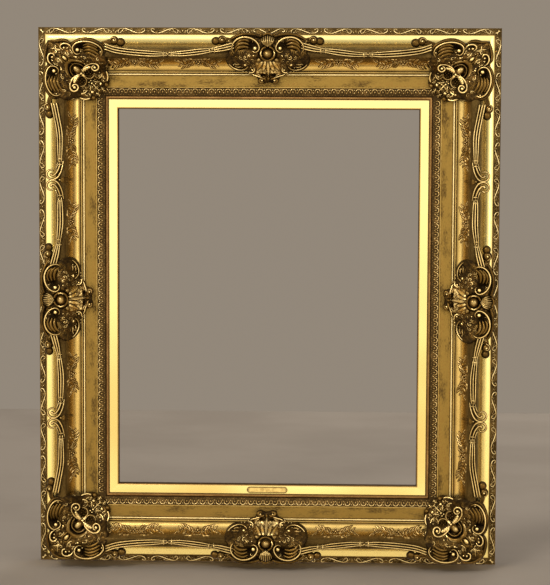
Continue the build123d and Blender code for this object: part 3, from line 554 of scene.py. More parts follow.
def dome(x, s, top, radius, radius_s=None, lean=0.0, deep=1.2, sides=10, rows=4, dark=0.05, bright=1.0):
    """A rounded stud with its crown at a height; oval where a second radius is given."""
    across = radius_s or radius
    rise = min(radius, across) * 0.95
    levels = [pi / 2 * i / rows for i in range(rows - 1, 0, -1)] + [0.0, -0.7]
    points, crest = [(x, s, top)], [bright]
    for level in levels:
        for j in range(sides):
            turn = 2 * pi * j / sides
            a, b = radius * cos(level) * cos(turn), across * cos(level) * sin(turn)
            lift = rise * sin(level) if level >= 0 else deep * rise * sin(level)
            points.append((x + a * cos(lean) - b * sin(lean), s + a * sin(lean) + b * cos(lean),
                           top - rise + lift))
            # Painted highlight on the crown, fading to painted shade round the sides, with the rubbed wear of
            # the gilding.
            crest.append(dark + (bright - dark) * max(0.0, sin(level)) ** 1.5)
    points.append((x, s, top - rise * (1 + deep)))
    crest.append(dark)
    faces = []
    for j in range(sides):
        k = (j + 1) % sides
        faces.append((0, 1 + j, 1 + k))
        for i in range(len(levels) - 1):
            a, b = 1 + i * sides, 1 + (i + 1) * sides
            faces.append((a + j, b + j, b + k, a + k))
        base = 1 + (len(levels) - 1) * sides
        faces.append((len(points) - 1, base + k, base + j))
    return np.array(points), faces, np.array(crest)


def bands(lines, spacing, sides, **look):
    """Rounded bands that share one look."""
    return [roll(line, spacing, sides, **look) for line in lines]


def studs(places, **look):
    """Studs that share one look; each place says where, how high and how wide."""
    return [dome(*place, **look) for place in places]


def both_ways(knots):
    """A line that runs on past the middle of its rail as its own mirror image."""
    return knots + [(-x, *rest) for x, *rest in knots[-2::-1]]


def mirrored(shapes):
    """The same shapes on the other side of the middle of their rail."""
    return [(points * (-1, 1, 1), faces, crest) for points, faces, crest in shapes]


def carved(shapes, name):
    """One mesh from carved shapes, from (along, inwards, forward) millimetres to the rail's own metres."""
    points, faces, crest, base = [], [], [], 0
    for shape_points, shape_faces, shape_crest in shapes:
        points.append(shape_points)
        crest.append(shape_crest)
        faces += [tuple(base + i for i in face) for face in shape_faces]
        base += len(shape_points)
    points = np.vstack(points)
    mesh = bpy.data.meshes.new(name)
    mesh.from_pydata(np.column_stack([points[:, 0], -points[:, 2], -points[:, 1]]) * MM, [], faces)
    mark_crest(mesh, np.concatenate(crest))
    outward(mesh, 0)
    return mesh


def joined(name, meshes):
    """Several meshes as one, with their crest marks."""
    points, faces, crest, base = [], [], [], 0
    for mesh in meshes:
        points.append(corners_of(mesh))
        rub_and_light = np.zeros(len(mesh.vertices), np.float32)
        mesh.attributes["crest"].data.foreach_get("value", rub_and_light)
        crest.append(rub_and_light)
        faces += [tuple(base + i for i in face.vertices) for face in mesh.polygons]
        base += len(mesh.vertices)
    result = bpy.data.meshes.new(name)
    result.from_pydata(np.vstack(points), [], faces)
    mark_crest(result, np.concatenate(crest))
    outward(result, 60)
    return result


def flipped(mesh):
    """The mirror image of a mesh across the middle of its rail."""
    copy = mesh.copy()
    copy.transform(Matrix.Diagonal((-1, 1, 1, 1)))
    copy.flip_normals()
    return copy


def repeating():
    """Geometry: a motif set out along X at an even pitch."""
    tree, given, end = shaping("run_of_motifs", Count="Int", Pitch="Float", Start="Float")
    first = add_node(tree, "ShaderNodeCombineXYZ", {0: given["Start"]}).outputs[0]
    stride = add_node(tree, "ShaderNodeCombineXYZ", {0: given["Pitch"]}).outputs[0]
    line = {"Count": given["Count"], "Start Location": first, "Offset": stride}
    line = add_node(tree, "GeometryNodeMeshLine", line).outputs[0]
    placed = add_node(tree, "GeometryNodeInstanceOnPoints", {"Points": line, "Instance": given[0]}).outputs[0]
    real = add_node(tree, "GeometryNodeRealizeInstances", {"Geometry": placed}).outputs[0]
    coated = add_node(tree, "GeometryNodeSetMaterial", {"Geometry": real, "Material": given["Finish"]})
    tree.links.new(coated.outputs[0], end.inputs[0])
    return tree


RUN_OF_MOTIFS = repeating()


def vine_bed(s):
    """Height of the sloping ground under the vine."""
    return 25.2 + (s - 1.8) * 2.9 / 13.0


def vine_low(points, half, lift=2.2):
    return [(x, s, vine_bed(s) + lift, half) for x, s in points]


def vine_scroll():
    """The lazy S scroll from one rosette to the next, with its leaves, sprigs and berries."""
    leaves = ([(16, 11.4), (18.6, 7.8), (23.0, 6.4), (26.4, 7.6)], [(48, 2.8), (51.4, 6.4), (52, 9.6)],
              [(31, 4.6), (35.4, 2.6), (40.6, 2.0)], [(60, 5.4), (63.4, 8.0), (64.2, 11)])
    scroll = [(12.4, 5.0), (11.0, 2.8), (7.6, 2.4), (6.2, 4.8), (8.0, 7.8), (13.5, 10.8), (20, 11.4),
              (27, 9.6), (34, 6.8), (41, 4.2), (48, 2.7), (54, 2.8), (58.4, 5.2), (59.6, 8.8), (57.6, 11.6),
              (54.4, 11.0), (54.2, 8.6)]
    sprigs = ([(27, 9.6), (31, 11.6), (36.4, 11.4), (38.6, 9.4)],
              [(41, 4.2), (43.6, 7.2), (47.6, 7.8), (49.4, 10.4)])
    berries = ((9.6, 5.0, 1.2), (24, 5.4, 1.0), (17, 6.8, 1.0), (30.6, 4.0, 0.8), (45, 11.0, 1.0),
               (50.6, 6.2, 1.1), (36, 9.0, 0.8), (21, 2.8, 0.9), (63.0, 3.6, 1.0), (62.6, 11.6, 0.9))
    return [
        *bands([vine_low(leaf, 0.85, 1.8) for leaf in leaves], 1.9, 6, bright=0.8),
        roll(vine_low(scroll, 1.2), 1.9, 6, bright=1.15),
        *bands([vine_low(sprig, 0.9, 1.8) for sprig in sprigs], 1.9, 6, bright=0.8),
        *studs([(x, s, vine_bed(s) + 1.4 + size * 0.4, size) for x, s, size in berries], deep=1.0, sides=6,
               rows=2, bright=0.7)]


def rosette():
    """Five petals round a bud."""
    s = 7.6
    turns = np.arange(5) * tau / 5 - 0.3
    petals = [(3.0 * cos(a), s + 3.6 * sin(a), vine_bed(s) + 1.7, 1.9, 1.0, a) for a in turns]
    bud = dome(0, s, vine_bed(s) + 2.4, 1.4, sides=8, rows=3)
    return studs(petals, deep=1.0, sides=6, rows=2, bright=0.6) + [bud]


def star():
    """Six short rays round a bead, half way between two rosettes."""
    x, s = HALF_PERIOD, 7.2
    rays = []
    for a in np.arange(6) * pi / 3:
        start, end = (x + 1.2 * cos(a), s + 1.2 * sin(a)), (x + 4.2 * cos(a), s + 4.6 * sin(a))
        rays.append(vine_low([start, end], 0.8, 1.6))
    return [dome(x, s, vine_bed(s) + 2.2, 1.3, sides=6, rows=2)] + bands(rays, 2.0, 5, bright=0.7)


def vine_middle(reach):
    """The join in the middle of a side, where the two runs of vine meet."""
    line = both_ways([(-reach + 7, 9.0), (-reach + 3.5, 6.6), (-reach + 6, 3.6), (-reach + 13, 2.8),
                      (-reach * 0.45, 5.2), (-5, 10.6), (0, 11.6)])
    berries = ((-9, 4.2), (9, 4.2), (-reach * 0.6, 8.8), (reach * 0.6, 8.8), (-5, 2.6), (5, 2.6))
    return [
        roll(vine_low(line, 1.2), 1.9, 6, bright=1.15),
        dome(0, 5.6, vine_bed(5.6) + 2.2, 2.4, 3.4, sides=8, rows=3, bright=0.6),
        *studs([(x, s, vine_bed(s) + 1.8, 1.1) for x, s in berries], sides=6, rows=2, bright=0.7)]


def moved_along(shapes, x):
    return [(points + (x, 0, 0), faces, crest) for points, faces, crest in shapes]


vine_gilding = gilded("vine_gold_on_clay", (1.0, 0.76, 0.34, 1), (0.24, 0.14, 0.036, 1),
                      (0.07, 0.041, 0.011, 1), 0.3, 0.3, size=1.4, clay=(0.12, 0.05, 0.014, 1))[0]
VINE_PROFILE = [(0, 18), (0, 23.2), (0.5, 24.4), (1.8, 25), (13.9, 27.8), (14.3, 28), (14.7, 28),
                (14.7, 24.5), (1.05, 20), (1.05, 18)]
VINE_RUB = [(0, 0.1), (0.5, 0.3), (1.8, 0.12), (13.9, 0.14), (14.4, 0.6), (14.8, 0.5)]
vine_repeat = carved(vine_scroll() + mirrored(vine_scroll()) + rosette() + star(), "vine_repeat")
for side in SIDES:
    half = half_of(side)
    strip = moulded(VINE_PROFILE, half, VINE_RUB)
    first = (FIRST_ROSETTE - half) * MM
    run = grown(vine_repeat, RUN_OF_MOTIFS, Count=3, Pitch=VINE_PERIOD * MM, Start=first)
    last = half - FIRST_ROSETTE - 2 * VINE_PERIOD - HALF_PERIOD
    extra = []
    if last > HALF_PERIOD:
        last -= HALF_PERIOD
        extra = moved_along(mirrored(vine_scroll()) + rosette(), -last)
    corner_sprig = [roll(vine_low([(-half + 5.5, 4.0), (-half + 8, 8), (-half + 12.4, 10.4)], 1.1), 1.9, 6),
                    dome(-half + 6.5, 5.0, vine_bed(5) + 2.2, 1.6, sides=6, rows=2)]
    extra = carved(extra + corner_sprig, "vine_extra")
    middle = carved(vine_middle(last), "vine_middle")
    whole = joined(f"vine_{side}", [strip, run, flipped(run), extra, flipped(extra), middle])
    piece(f"vine_strip_{side}", on_side(whole, side), vine_gilding, "vine_gilding", f"edge_vine_{side}")

# Leaf strip. A narrow strip of pressed ornament beside the lip: a row of arched leaves with small
# drops between them, dark in the ground and bright on the tips.
LEAF_PITCH = 16.14


def leaf_motif():
    """One arched leaf with its rib, and the drops beside it."""
    def high(s, lift):
        return 47.9 - (s - 120) * 3.8 / 15.4 + lift
    arch = [(-4.4, 130.4, 0.9, 0.6, 0.4), (-5.4, 126.8, 1.3, 0.9, 0.6), (-3.6, 123.2, 1.7, 1.15, 1.0),
            (0, 121.9, 1.9, 1.4, 1.2)]
    arch = both_ways([(x, s, high(s, lift), half, bright) for x, s, lift, half, bright in arch])
    drops = ((0, 127.6, 1.4, 1.6, 2.6, 8, 0.78), (8.07, 123.6, 1.1, 1.5, 1.3, 6, 1.0),
             (8.07, 129.2, 1.1, 1.4, 2.6, 6, 0.8), (2.6, 133.2, 0.7, 1.2, 0.8, 6, 0.6),
             (-2.6, 133.2, 0.7, 1.2, 0.8, 6, 0.6))
    shapes = [roll(arch, 1.8, 6, dark=0.0, bright=1.0)]
    for x, s, lift, half, half_s, sides, bright in drops:
        shapes.append(dome(x, s, high(s, lift), half, half_s, sides=sides, rows=2, dark=0.0, bright=bright))
    return carved(shapes, "leaf_motif")


leaf_gilding = gilded("leaf_strip_gold", (1.0, 0.74, 0.31, 1), (0.30, 0.175, 0.048, 1),
                      (0.065, 0.037, 0.011, 1), 0.3, 0.2, size=1.4)[0]
LEAF_PROFILE = [(120, 46.2), (120, 48.0), (135.35, 44.2), (135.35, 42.55)]
LEAF_RUB = [(120, 0.08), (135.35, 0.06)]
leaf_repeat = leaf_motif()
for side in SIDES:
    half = half_of(side)
    strip = moulded(LEAF_PROFILE, half, LEAF_RUB)
    reach = int((half - 136) / LEAF_PITCH)
    run = grown(leaf_repeat, RUN_OF_MOTIFS, Count=2 * reach + 1, Pitch=LEAF_PITCH * MM,
                Start=-reach * LEAF_PITCH * MM)
    piece(f"leaf_strip_{side}", on_side(joined(f"leaves_{side}", [strip, run]), side), leaf_gilding,
          "leaf_gilding", f"sight_leaf_{side}")

# Reeds. Bundles of three rods lie along the crest, drawn together at wrapped ties and, on the long
# sides, broken by two scrolls that face each other. Cast in composition and glued to the crest.
ornament_gilding = gilded("carved_ornament_gold", (1.0, 0.71, 0.27, 1), (0.125, 0.067, 0.014, 1),
                          (0.026, 0.014, 0.004, 1), 0.22, 0.2)[0]
REED_TOP = 108.2
REED_HALF = 2.05
PEARL = 1.3


def rods(stations):
    """Three rods side by side; each station gives a place, the middle line and the spread."""
    shapes = []
    for lane in (-1, 0, 1):
        knots = [(x, s - 1.5 + lane * gap * 0.96, REED_TOP + 0.6 * (lane == 0) - 1.6 * (gap < 4),
                  REED_HALF * min(1.0, gap / 5.0)) for x, s, gap in stations]
        shapes.append(roll(knots, 4.0, 12, rise=1.25, deep=3.0, dark=0.04, keen=7.0))
    return shapes


def knot(x, s, length):
    """The wrapping of a tie: two collars and a small bead between them."""
    shapes = [dome(x, s - 1.5, REED_TOP + 1.6, length * 0.36, 1.7, deep=3.0, sides=14, rows=5, dark=0.15,
                   bright=0.72)]
    for way in (-1, 1):
        at = x + way * length * 0.66
        shapes.append(roll([(at - way, s - 7.2, REED_TOP - 4, 1.2), (at, s - 1.5, REED_TOP + 0.6, 1.2),
                            (at - way, s + 4.2, REED_TOP - 4, 1.2)], 1.6, 8, deep=3.0, dark=0.2, bright=0.9))
    return shapes


def tail(knots, balls):
    """A leaf tail that leaves the reeds on the outer side and ends in two dark lobes, the first of
    them with a bright curl."""
    shapes = [roll([(x, s, top, half * 1.3) for x, s, top, half in knots], 2.2, 10, deep=2.5, dark=0.04,
                   bright=0.2)]
    for off, lift, share, bright in ((-3.2, 0.6, 0.34, 0.6), (3.0, 0.4, 0.3, 0.5)):
        edge = [(x, s + off, top + lift, half * share) for x, s, top, half in knots]
        shapes.append(roll(edge, 2.2, 8, deep=2.5, bright=bright, keen=3.0))
    shapes += studs([(x, s, top, size, size * 0.95) for x, s, top, size in balls], deep=1.3, sides=18, rows=7,
                    dark=0.03, bright=0.3)
    x, s, top, size = balls[0]
    way = 1 if balls[1][0] > x else -1
    curl = [(x - way * size * (0.82 - 0.105 * k) * cos(0.75 * k),
             s - size * (0.80 - 0.105 * k) * sin(0.75 * k), top + 0.6 + 0.35 * k, 1.5) for k in range(6)]
    return shapes + [roll(curl, 1.8, 8, bright=0.75, keen=3.0), dome(x, s, top + 2.6, 2.5, deep=2.0, sides=12,
            rows=4)]


def cove_height(s):
    """Height of the bare moulding at a station on the crest or in the cove."""
    if s < 63.5:
        return CREST_TOP
    return COVE_TOP - COVE_DEEP * sqrt(max(0.0, 1 - ((COVE_END - min(s, COVE_END)) / COVE_WIDE) ** 2))


def pearl_string(start, end, count):
    """A row of pearls laid in the top of the cove."""
    shares = np.linspace(0, 1, count)
    places = [(start[0] + (end[0] - start[0]) * t, start[1] + (end[1] - start[1]) * t) for t in shares]
    return studs([(x, s, cove_height(s) + PEARL * 1.3, PEARL) for x, s in places], sides=6, rows=2, deep=1.5)


def reed_run(long_side):
    """The left half of a side's reeds; the other half mirrors it."""
    shapes = []
    if long_side:
        shapes += rods([(-385, 44, 5.4), (-360, 49, 5.2), (-325, 55, 5.2), (-290, 55.6, 4.2),
                        (-276, 55.4, 3.2), (-270, 55.4, 2.9)])
        shapes += rods([(-200.5, 55, 2.9), (-185, 55.4, 4.6), (-150, 55.6, 5.2), (-122, 53, 4.2),
                        (-112, 51.6, 3.2), (-90, 47, 5.0), (-68, 41, 5.4)])
        shapes += knot(-271, 55.4, 9) + knot(-199.5, 55.0, 9) + knot(-113, 52, 8)
        shapes += break_scroll(-1) + break_scroll(1) + break_fan()
        shapes += tail([(-400, 36, 103, 2.6), (-390, 33, 104, 4.0), (-376, 31, 102, 5.0)],
                       [(-377, 30, 106, 9.6), (-364, 33, 105.5, 9.4)])
        shapes += tail([(-66, 31, 102, 2.6), (-76, 29, 103, 4.0), (-88, 28.5, 101, 5.0)],
                       [(-90, 29, 106.5, 9.8), (-102.5, 30, 104.5, 8.8)])
        strings = [((-330, 66), (-296, 67), 12), ((-170, 67), (-130, 66), 14), ((-318, 69.5), (-300, 71), 6)]
    else:
        shapes += rods([(-318, 43, 5.4), (-296, 50, 5.2), (-262, 54.5, 5.2), (-225, 57.0, 4.8),
                        (-206, 57.4, 3.4), (-196.5, 57.4, 2.9)])
        shapes += rods([(-193.5, 57.4, 2.9), (-184, 57.4, 3.4), (-165, 56.4, 4.6), (-135, 53, 5.0),
                        (-116, 50.4, 3.8), (-108, 49.4, 3.2), (-88, 46, 5.0), (-66, 40.5, 5.4)])
        shapes += knot(-195, 57.4, 13) + knot(-108, 49.4, 8)
        shapes += tail([(-324, 36, 103, 2.6), (-313, 33, 104, 4.0), (-299, 30.5, 102, 5.0)],
                       [(-300, 30, 106, 9.6), (-287.5, 33, 105.5, 9.4)])
        shapes += tail([(-66, 31, 102, 2.6), (-76, 28.5, 103, 4.0), (-87, 28, 101, 5.0)],
                       [(-89, 28.5, 106.5, 9.8), (-101.5, 30, 104.5, 8.8)])
        strings = [((-276, 66.5), (-240, 68), 13), ((-166, 66.5), (-128, 65.5), 14),
                   ((-262, 70), (-246, 71), 6)]
    for start, end, count in strings:
        shapes += pearl_string(start, end, count)
    return shapes


BREAK_MIDDLE = -235.3


def break_scroll(way):
    """One of the two scrolls at a break: a rod that rolls up towards the hollow round an eye."""
    eye = BREAK_MIDDLE + way * 10.4
    def at(points):
        return [(eye + way * a, s, top, half) for a, s, top, half in points]
    outer = at([(27, 60, 102, 1.4), (16, 58.5, 105, 2.0), (4, 55, 107, 2.2), (-6, 48.5, 108, 2.3),
                (-9.6, 39, 108.5, 2.4), (-6, 30.4, 108.5, 2.4), (1.5, 27.6, 108.5, 2.3),
                (8, 31.5, 107.5, 2.1), (9.2, 37.6, 106, 1.8), (6.8, 41.6, 104, 1.2)])
    middle = at([(30, 54.5, 104, 1.4), (18, 53, 106.5, 2.2), (7, 49, 108, 2.4), (-0.6, 43, 108.5, 2.3),
                 (-2.2, 37.0, 108.5, 2.0)])
    inner = at([(24, 49, 103, 1.0), (15.5, 47.4, 105, 1.7), (9.6, 44.6, 105, 1.4)])
    return [
        *bands((outer, middle, inner), 2.0, 10, deep=2.5, dark=0.02, bright=0.95, keen=6.0),
        dome(eye + way * 0.2, 36.6, 109, 3.5, deep=2.0, dark=0.02, bright=0.8)]


def break_fan():
    """The small ribbed leaf between the scrolls, pointing at the cove, and its drop."""
    shapes = [dome(BREAK_MIDDLE, 53.0, 105.5, 2.6, 3.4, deep=2.0, bright=0.7)]
    for turn in (-0.75, -0.38, 0.0, 0.38, 0.75):
        tip_x, tip_s = BREAK_MIDDLE + 14 * sin(turn), 55 + 12.5 * cos(turn)
        middle = ((BREAK_MIDDLE + tip_x) / 2, (55 + tip_s) / 2, 104, 2.0)
        rib = [(BREAK_MIDDLE + 2 * sin(turn), 55, 104, 1.1), middle, (tip_x, tip_s, 95 - 4 * cos(turn), 0.9)]
        shapes.append(roll(rib, 2.0, 6, deep=3.0, dark=0.03, bright=0.45))
    shapes.append(dome(BREAK_MIDDLE, 70.0, cove_height(70.0) + 3.4, 2.4, 3.4, deep=2.0, bright=0.5))
    return shapes


for side in SIDES:
    run = reed_run(long_side=side in ("left", "right"))
    for part, node_end, shapes in (("first", "a", run), ("second", "b", mirrored(run))):
        piece(f"reed_bundle_{side}_{part}", on_side(carved(shapes, "reeds"), side), ornament_gilding,
              "ornament_gilding", f"reeds_{side}_{node_end}")

# Corner ornaments. Cast and carved cartouches that bridge the hollow and the cove at each mitre: a
# polished stone in a broad border, C scrolls with leaves, two horns and a pierced leafy foot.
def inside(points, outline):
    """Which points lie inside a closed outline."""
    x, y = points[:, 0], points[:, 1]
    within = np.zeros(len(points), bool)
    for (x0, y0), (x1, y1) in zip(outline, np.roll(outline, -1, axis=0)):
        crossing = (y0 > y) != (y1 > y)
        within ^= crossing & (x < (x1 - x0) * (y - y0) / ((y1 - y0) or 1e-9) + x0)
    return within


def distance_to(points, line):
    """Distance of each point from a closed line."""
    best = np.full(len(points), 1e9)
    for a, b in zip(line, np.roll(line, -1, axis=0)):
        step = b - a
        t = np.clip(((points - a) @ step) / (step @ step + 1e-12), 0, 1)
        best = np.minimum(best, np.linalg.norm(points - (a + t[:, None] * step), axis=1))
    return best


def ground(outline, top, under, step=1.3, coarse=6.0, round_edge=5.0):
    """The body of an ornament: a carved front and a plain back that meet along the outline."""
    edge = np.array(outline, float)
    closed = smooth(np.vstack([edge, edge[:1]]), max(12, int(distance_round(edge) / (step * 1.5))))[:-1, :2]
    low, high = closed.min(0), closed.max(0)

    def filled(spacing):
        xs, ys = np.meshgrid(np.arange(low[0], high[0], spacing), np.arange(low[1], high[1], spacing * 0.87))
        xs = xs + (np.arange(xs.shape[0]) % 2)[:, None] * spacing / 2
        inner = np.column_stack([xs.ravel(), ys.ravel()])
        inner = inner[inside(inner, closed)]
        inner = inner[distance_to(inner, closed) > spacing * 0.55]
        every = np.vstack([closed, inner])
        found = delaunay_2d_cdt([Vector(p) for p in every], [], [list(range(len(closed)))], 1, 1e-5)
        return np.array([tuple(p) for p in found[0]]), [tuple(f) for f in found[2]]

    front, front_faces = filled(step)
    back, back_faces = filled(coarse)
    rim = len(closed)
    away = np.clip(distance_to(front, closed) / round_edge, 0, 1)
    heights, crest = top(front[:, 0], front[:, 1])
    floor = under(front[:, 0], front[:, 1])
    thick = np.maximum(heights - floor, 1.0)
    drop = (1 - np.sqrt(np.clip(1 - (1 - away) ** 2, 0, 1))) * np.minimum(round_edge, thick * 0.8)
    points = np.vstack([np.column_stack([front, heights - drop]),
                        np.column_stack([back, under(back[:, 0], back[:, 1])])])
    base = len(front)
    faces = list(front_faces) + [tuple(base + i for i in face) for face in back_faces]
    for i in range(rim):
        j = (i + 1) % rim
        faces.append((i, j, base + j, base + i))
    # Painted shade: the carved front is marked darker where it rolls down to the outline.
    return points, faces, np.concatenate([crest * (0.35 + 0.65 * away), np.full(len(back), 0.18)])


def distance_round(line):
    return np.linalg.norm(line - np.roll(line, -1, axis=0), axis=1).sum()


def seat_height(s):
    """Front of the bare mouldings at each station."""
    hollow_end, cove_start, beads_end = 45, 63.5, 96.2
    bead_top, frieze_top = 52.0, 48.75
    across = (np.clip(s, HOLLOW_START, hollow_end) - HOLLOW_START) / HOLLOW_WIDE
    hollow = HOLLOW_TOP - HOLLOW_DEEP * np.sqrt(np.clip(1 - across ** 2, 0, 1))
    across = (COVE_END - np.clip(s, cove_start, COVE_END)) / COVE_WIDE
    cove = COVE_TOP - COVE_DEEP * np.sqrt(np.clip(1 - across ** 2, 0, 1))
    zones = [s < hollow_end, s < 62, s < COVE_END, s < beads_end]
    return np.select(zones, [hollow, CREST_TOP, np.maximum(cove, bead_top), bead_top], frieze_top)


def pebbles(x, s, size):
    """A lumpy carved ground."""
    across = np.sin(s / size * 1.1 + 1.1 * np.sin(x / size * 0.8))
    return 0.5 + 0.5 * (np.sin(x / size + 1.3 * np.sin(s / size * 0.7)) * across)


def swell(x, s, at, wide):
    """A smooth round or oval rise, 1 at its middle."""
    return np.exp(-(((x - at[0]) / wide[0]) ** 2 + ((s - at[1]) / wide[1]) ** 2))


CORNER_ARM = [(29, 29), (38, 25.5), (48, 23), (58, 21.5), (66, 22.5), (73, 27.5), (79, 26.5), (86, 23),
              (96, 20.6), (106, 20), (117, 21), (127, 24.5), (136, 30), (143, 37), (144.5, 46), (141.5, 54),
              (145, 62), (145.5, 71), (142, 79), (140.5, 87), (142, 95), (145.5, 104), (145, 112), (141, 119),
              (136, 127), (132, 132)]
CORNER_OUTLINE = CORNER_ARM + [(v, u) for u, v in CORNER_ARM[-2:0:-1]]
SIDE_STATIONS = [15, 24, 40, 55, 66, 74, 82, 92, 104, 118, 136]
SIDE_HEIGHTS = [88, 98, 102, 103, 99, 92, 82, 71, 61.5, 56, 53.2]


def corner_top(u, v):
    s = np.minimum(u, v)
    far = np.maximum(u, v)
    height = np.interp(s, SIDE_STATIONS, SIDE_HEIGHTS)
    bowl = swell(far, s, (92, 41), (7, 9)) + 0.6 * swell(far, s, (112, 44), (18, 12))
    from_stone = np.hypot(u - 84, v - 84)
    moat = np.exp(-(((from_stone - 14) / 4.5) ** 2)) * np.clip((190 - u - v) / 16, 0, 1)
    height -= 9.0 * bowl + 7.0 * moat
    lumps = pebbles(u, v, 2.6)
    height += 1.2 * lumps + 0.6 * pebbles(v + 7, u - 3, 1.5)
    crest = 0.08 + 0.16 * lumps
    return height, crest * (1 - 0.8 * np.clip(bowl + moat, 0, 1))


def corner_under(u, v):
    s = np.minimum(u, v)
    slope = np.interp(s, [15, 46, 47], [88, 40, 0])
    return np.maximum(seat_height(s), slope) + 0.02


def across_mitre(shapes):
    return [(points[:, [1, 0, 2]], faces, crest) for points, faces, crest in shapes]


def over_mitre(knots):
    """A line that runs on past the mitre as its own mirror image."""
    return knots + [(v, u, *rest) for u, v, *rest in knots[-2::-1]]


def brightened(knots, light):
    """A line with how bright the painted highlight on its crown is at each knot, worked out from the knot's
    number.
    """
    return [(*knot_place, light(i)) for i, knot_place in enumerate(knots)]


def scroll_rim(knots):
    """The rim of a C scroll, marked with a painted highlight that is brightest half way along."""
    knots = brightened(knots, lambda i: 0.62 + 0.38 * sin(pi * i / 13))
    return roll(knots, 1.8, 12, deep=3.0, keen=6.0, bright=1.1)


def scroll_lobes(lobes):
    """The ribs inside a C scroll; each has four places, a height and a half width."""
    lines = [[(*a, top - 5, half * 0.5), (*b, top - 0.6, half * 1.15), (*c, top, half * 1.1),
              (*d, top - 2.5, half * 0.5)] for a, b, c, d, top, half in lobes]
    return bands(lines, 2.2, 10, deep=2.6, dark=0.04, bright=0.56)


def berry(u, v):
    """One of the berries in the loop of a corner, which lies lower towards the frieze."""
    return dome(u, v, 77.5 - (v - 90) * 0.35, 1.7, deep=2.0, sides=6, rows=2, bright=0.6)


def wrapping(u, v, turn, wide, top):
    """A thin band round the leafy cone of a corner."""
    nu, nv = -sin(turn), cos(turn)
    start, end = ((u + way * nu * wide, v + way * nv * wide, top - 3, 0.8) for way in (-1, 1))
    return roll([start, (u, v, top, 1.1), end], 1.8, 6, dark=0.3)


def frond(start, end, top, count, length, half, spread_out=0.7, bow=2.0, bright=0.85):
    """A feathered leaf: a stout rib with plump lobes leaving it on both sides."""
    (x0, s0), (x1, s1) = start, end
    heading = atan2(s1 - s0, x1 - x0)
    nx, ns = -sin(heading), cos(heading)
    middle = ((x0 + x1) / 2 + nx * bow, (s0 + s1) / 2 + ns * bow)
    rib = [(x0, s0, top - 1, half * 0.5), (*middle, top + 0.6, half * 0.8), (x1, s1, top - 1.5, half * 0.4)]
    shapes = [roll(rib, 2.0, 8, deep=3.0, dark=0.08, bright=bright)]
    for i in range(count):
        t = (i + 0.6) / count
        bx = x0 + (x1 - x0) * t + nx * bow * 4 * t * (1 - t)
        bs = s0 + (s1 - s0) * t + ns * bow * 4 * t * (1 - t)
        reach = length * (1 - 0.45 * t)
        for way in (-1, 1):
            turn = heading + way * spread_out
            out = turn + way * 0.35
            tip = (bx + reach * cos(turn), bs + reach * sin(turn))
            elbow = (bx + reach * 0.55 * cos(out), bs + reach * 0.55 * sin(out))
            lobe = [(bx, bs, top - 2.4, half * 0.5), (*elbow, top - 0.8, half * 0.85),
                    (*tip, top - 2.4, half * 0.35)]
            shapes.append(roll(lobe, 2.0, 8, deep=3.0, dark=0.06, bright=bright * 0.8))
    return shapes


def small_curls(outline, seat, clear, spacing, seed, wanted):
    """Little curled leaves and beads that fill the ground between the main forms of an ornament."""
    chance = np.random.default_rng(seed)
    edge = np.array(outline, float)
    low, high = edge.min(0), edge.max(0)
    shapes = []
    for row, s in enumerate(np.arange(low[1], high[1], spacing * 0.87)):
        for x in np.arange(low[0] + (row % 2) * spacing / 2, high[0], spacing):
            place = np.array([[x + chance.uniform(-1.6, 1.6), s + chance.uniform(-1.6, 1.6)]])
            turn, sense = chance.uniform(0, tau), chance.choice((-1, 1))
            bright = chance.uniform(0.55, 1.0)
            if not wanted(*place[0]) or not inside(place, edge)[0] or distance_to(place, edge)[0] < 5.5:
                continue
            if any(hypot(place[0, 0] - cx, place[0, 1] - cs) < size for cx, cs, size in clear):
                continue
            knots = []
            for k in range(5):
                angle = turn + sense * 0.85 * k
                radius = 4.6 - 0.55 * k
                px, ps = place[0, 0] + radius * cos(angle), place[0, 1] + radius * sin(angle)
                knots.append((px, ps, float(seat(np.array([px]), np.array([ps]))[0][0]) + 0.9 + 0.3 * k,
                              (0.8, 1.5, 1.7, 1.5, 1.0)[k]))
            shapes.append(roll(knots, 2.0, 6, deep=2.6, dark=0.05, bright=bright, keen=3.0))
            top = float(seat(place[:, 0], place[:, 1])[0][0]) + 1.6
            shapes.append(dome(place[0, 0], place[0, 1], top, 1.5, deep=2.0, sides=6, rows=2, bright=bright))
    return shapes


CORNER_CLEAR = [(89, 43, 15), (104, 36, 13), (120, 42, 14), (134, 48, 9), (62, 38, 10), (74, 74, 20),
                (86, 86, 20), (120, 80, 13), (106, 82, 12), (108, 97, 10), (140, 115, 6), (50, 30, 7),
                (64, 64, 9), (58, 28, 6), (42, 31, 6), (104, 27, 7), (125, 31, 7), (102, 102, 5),
                (112, 112, 4)]


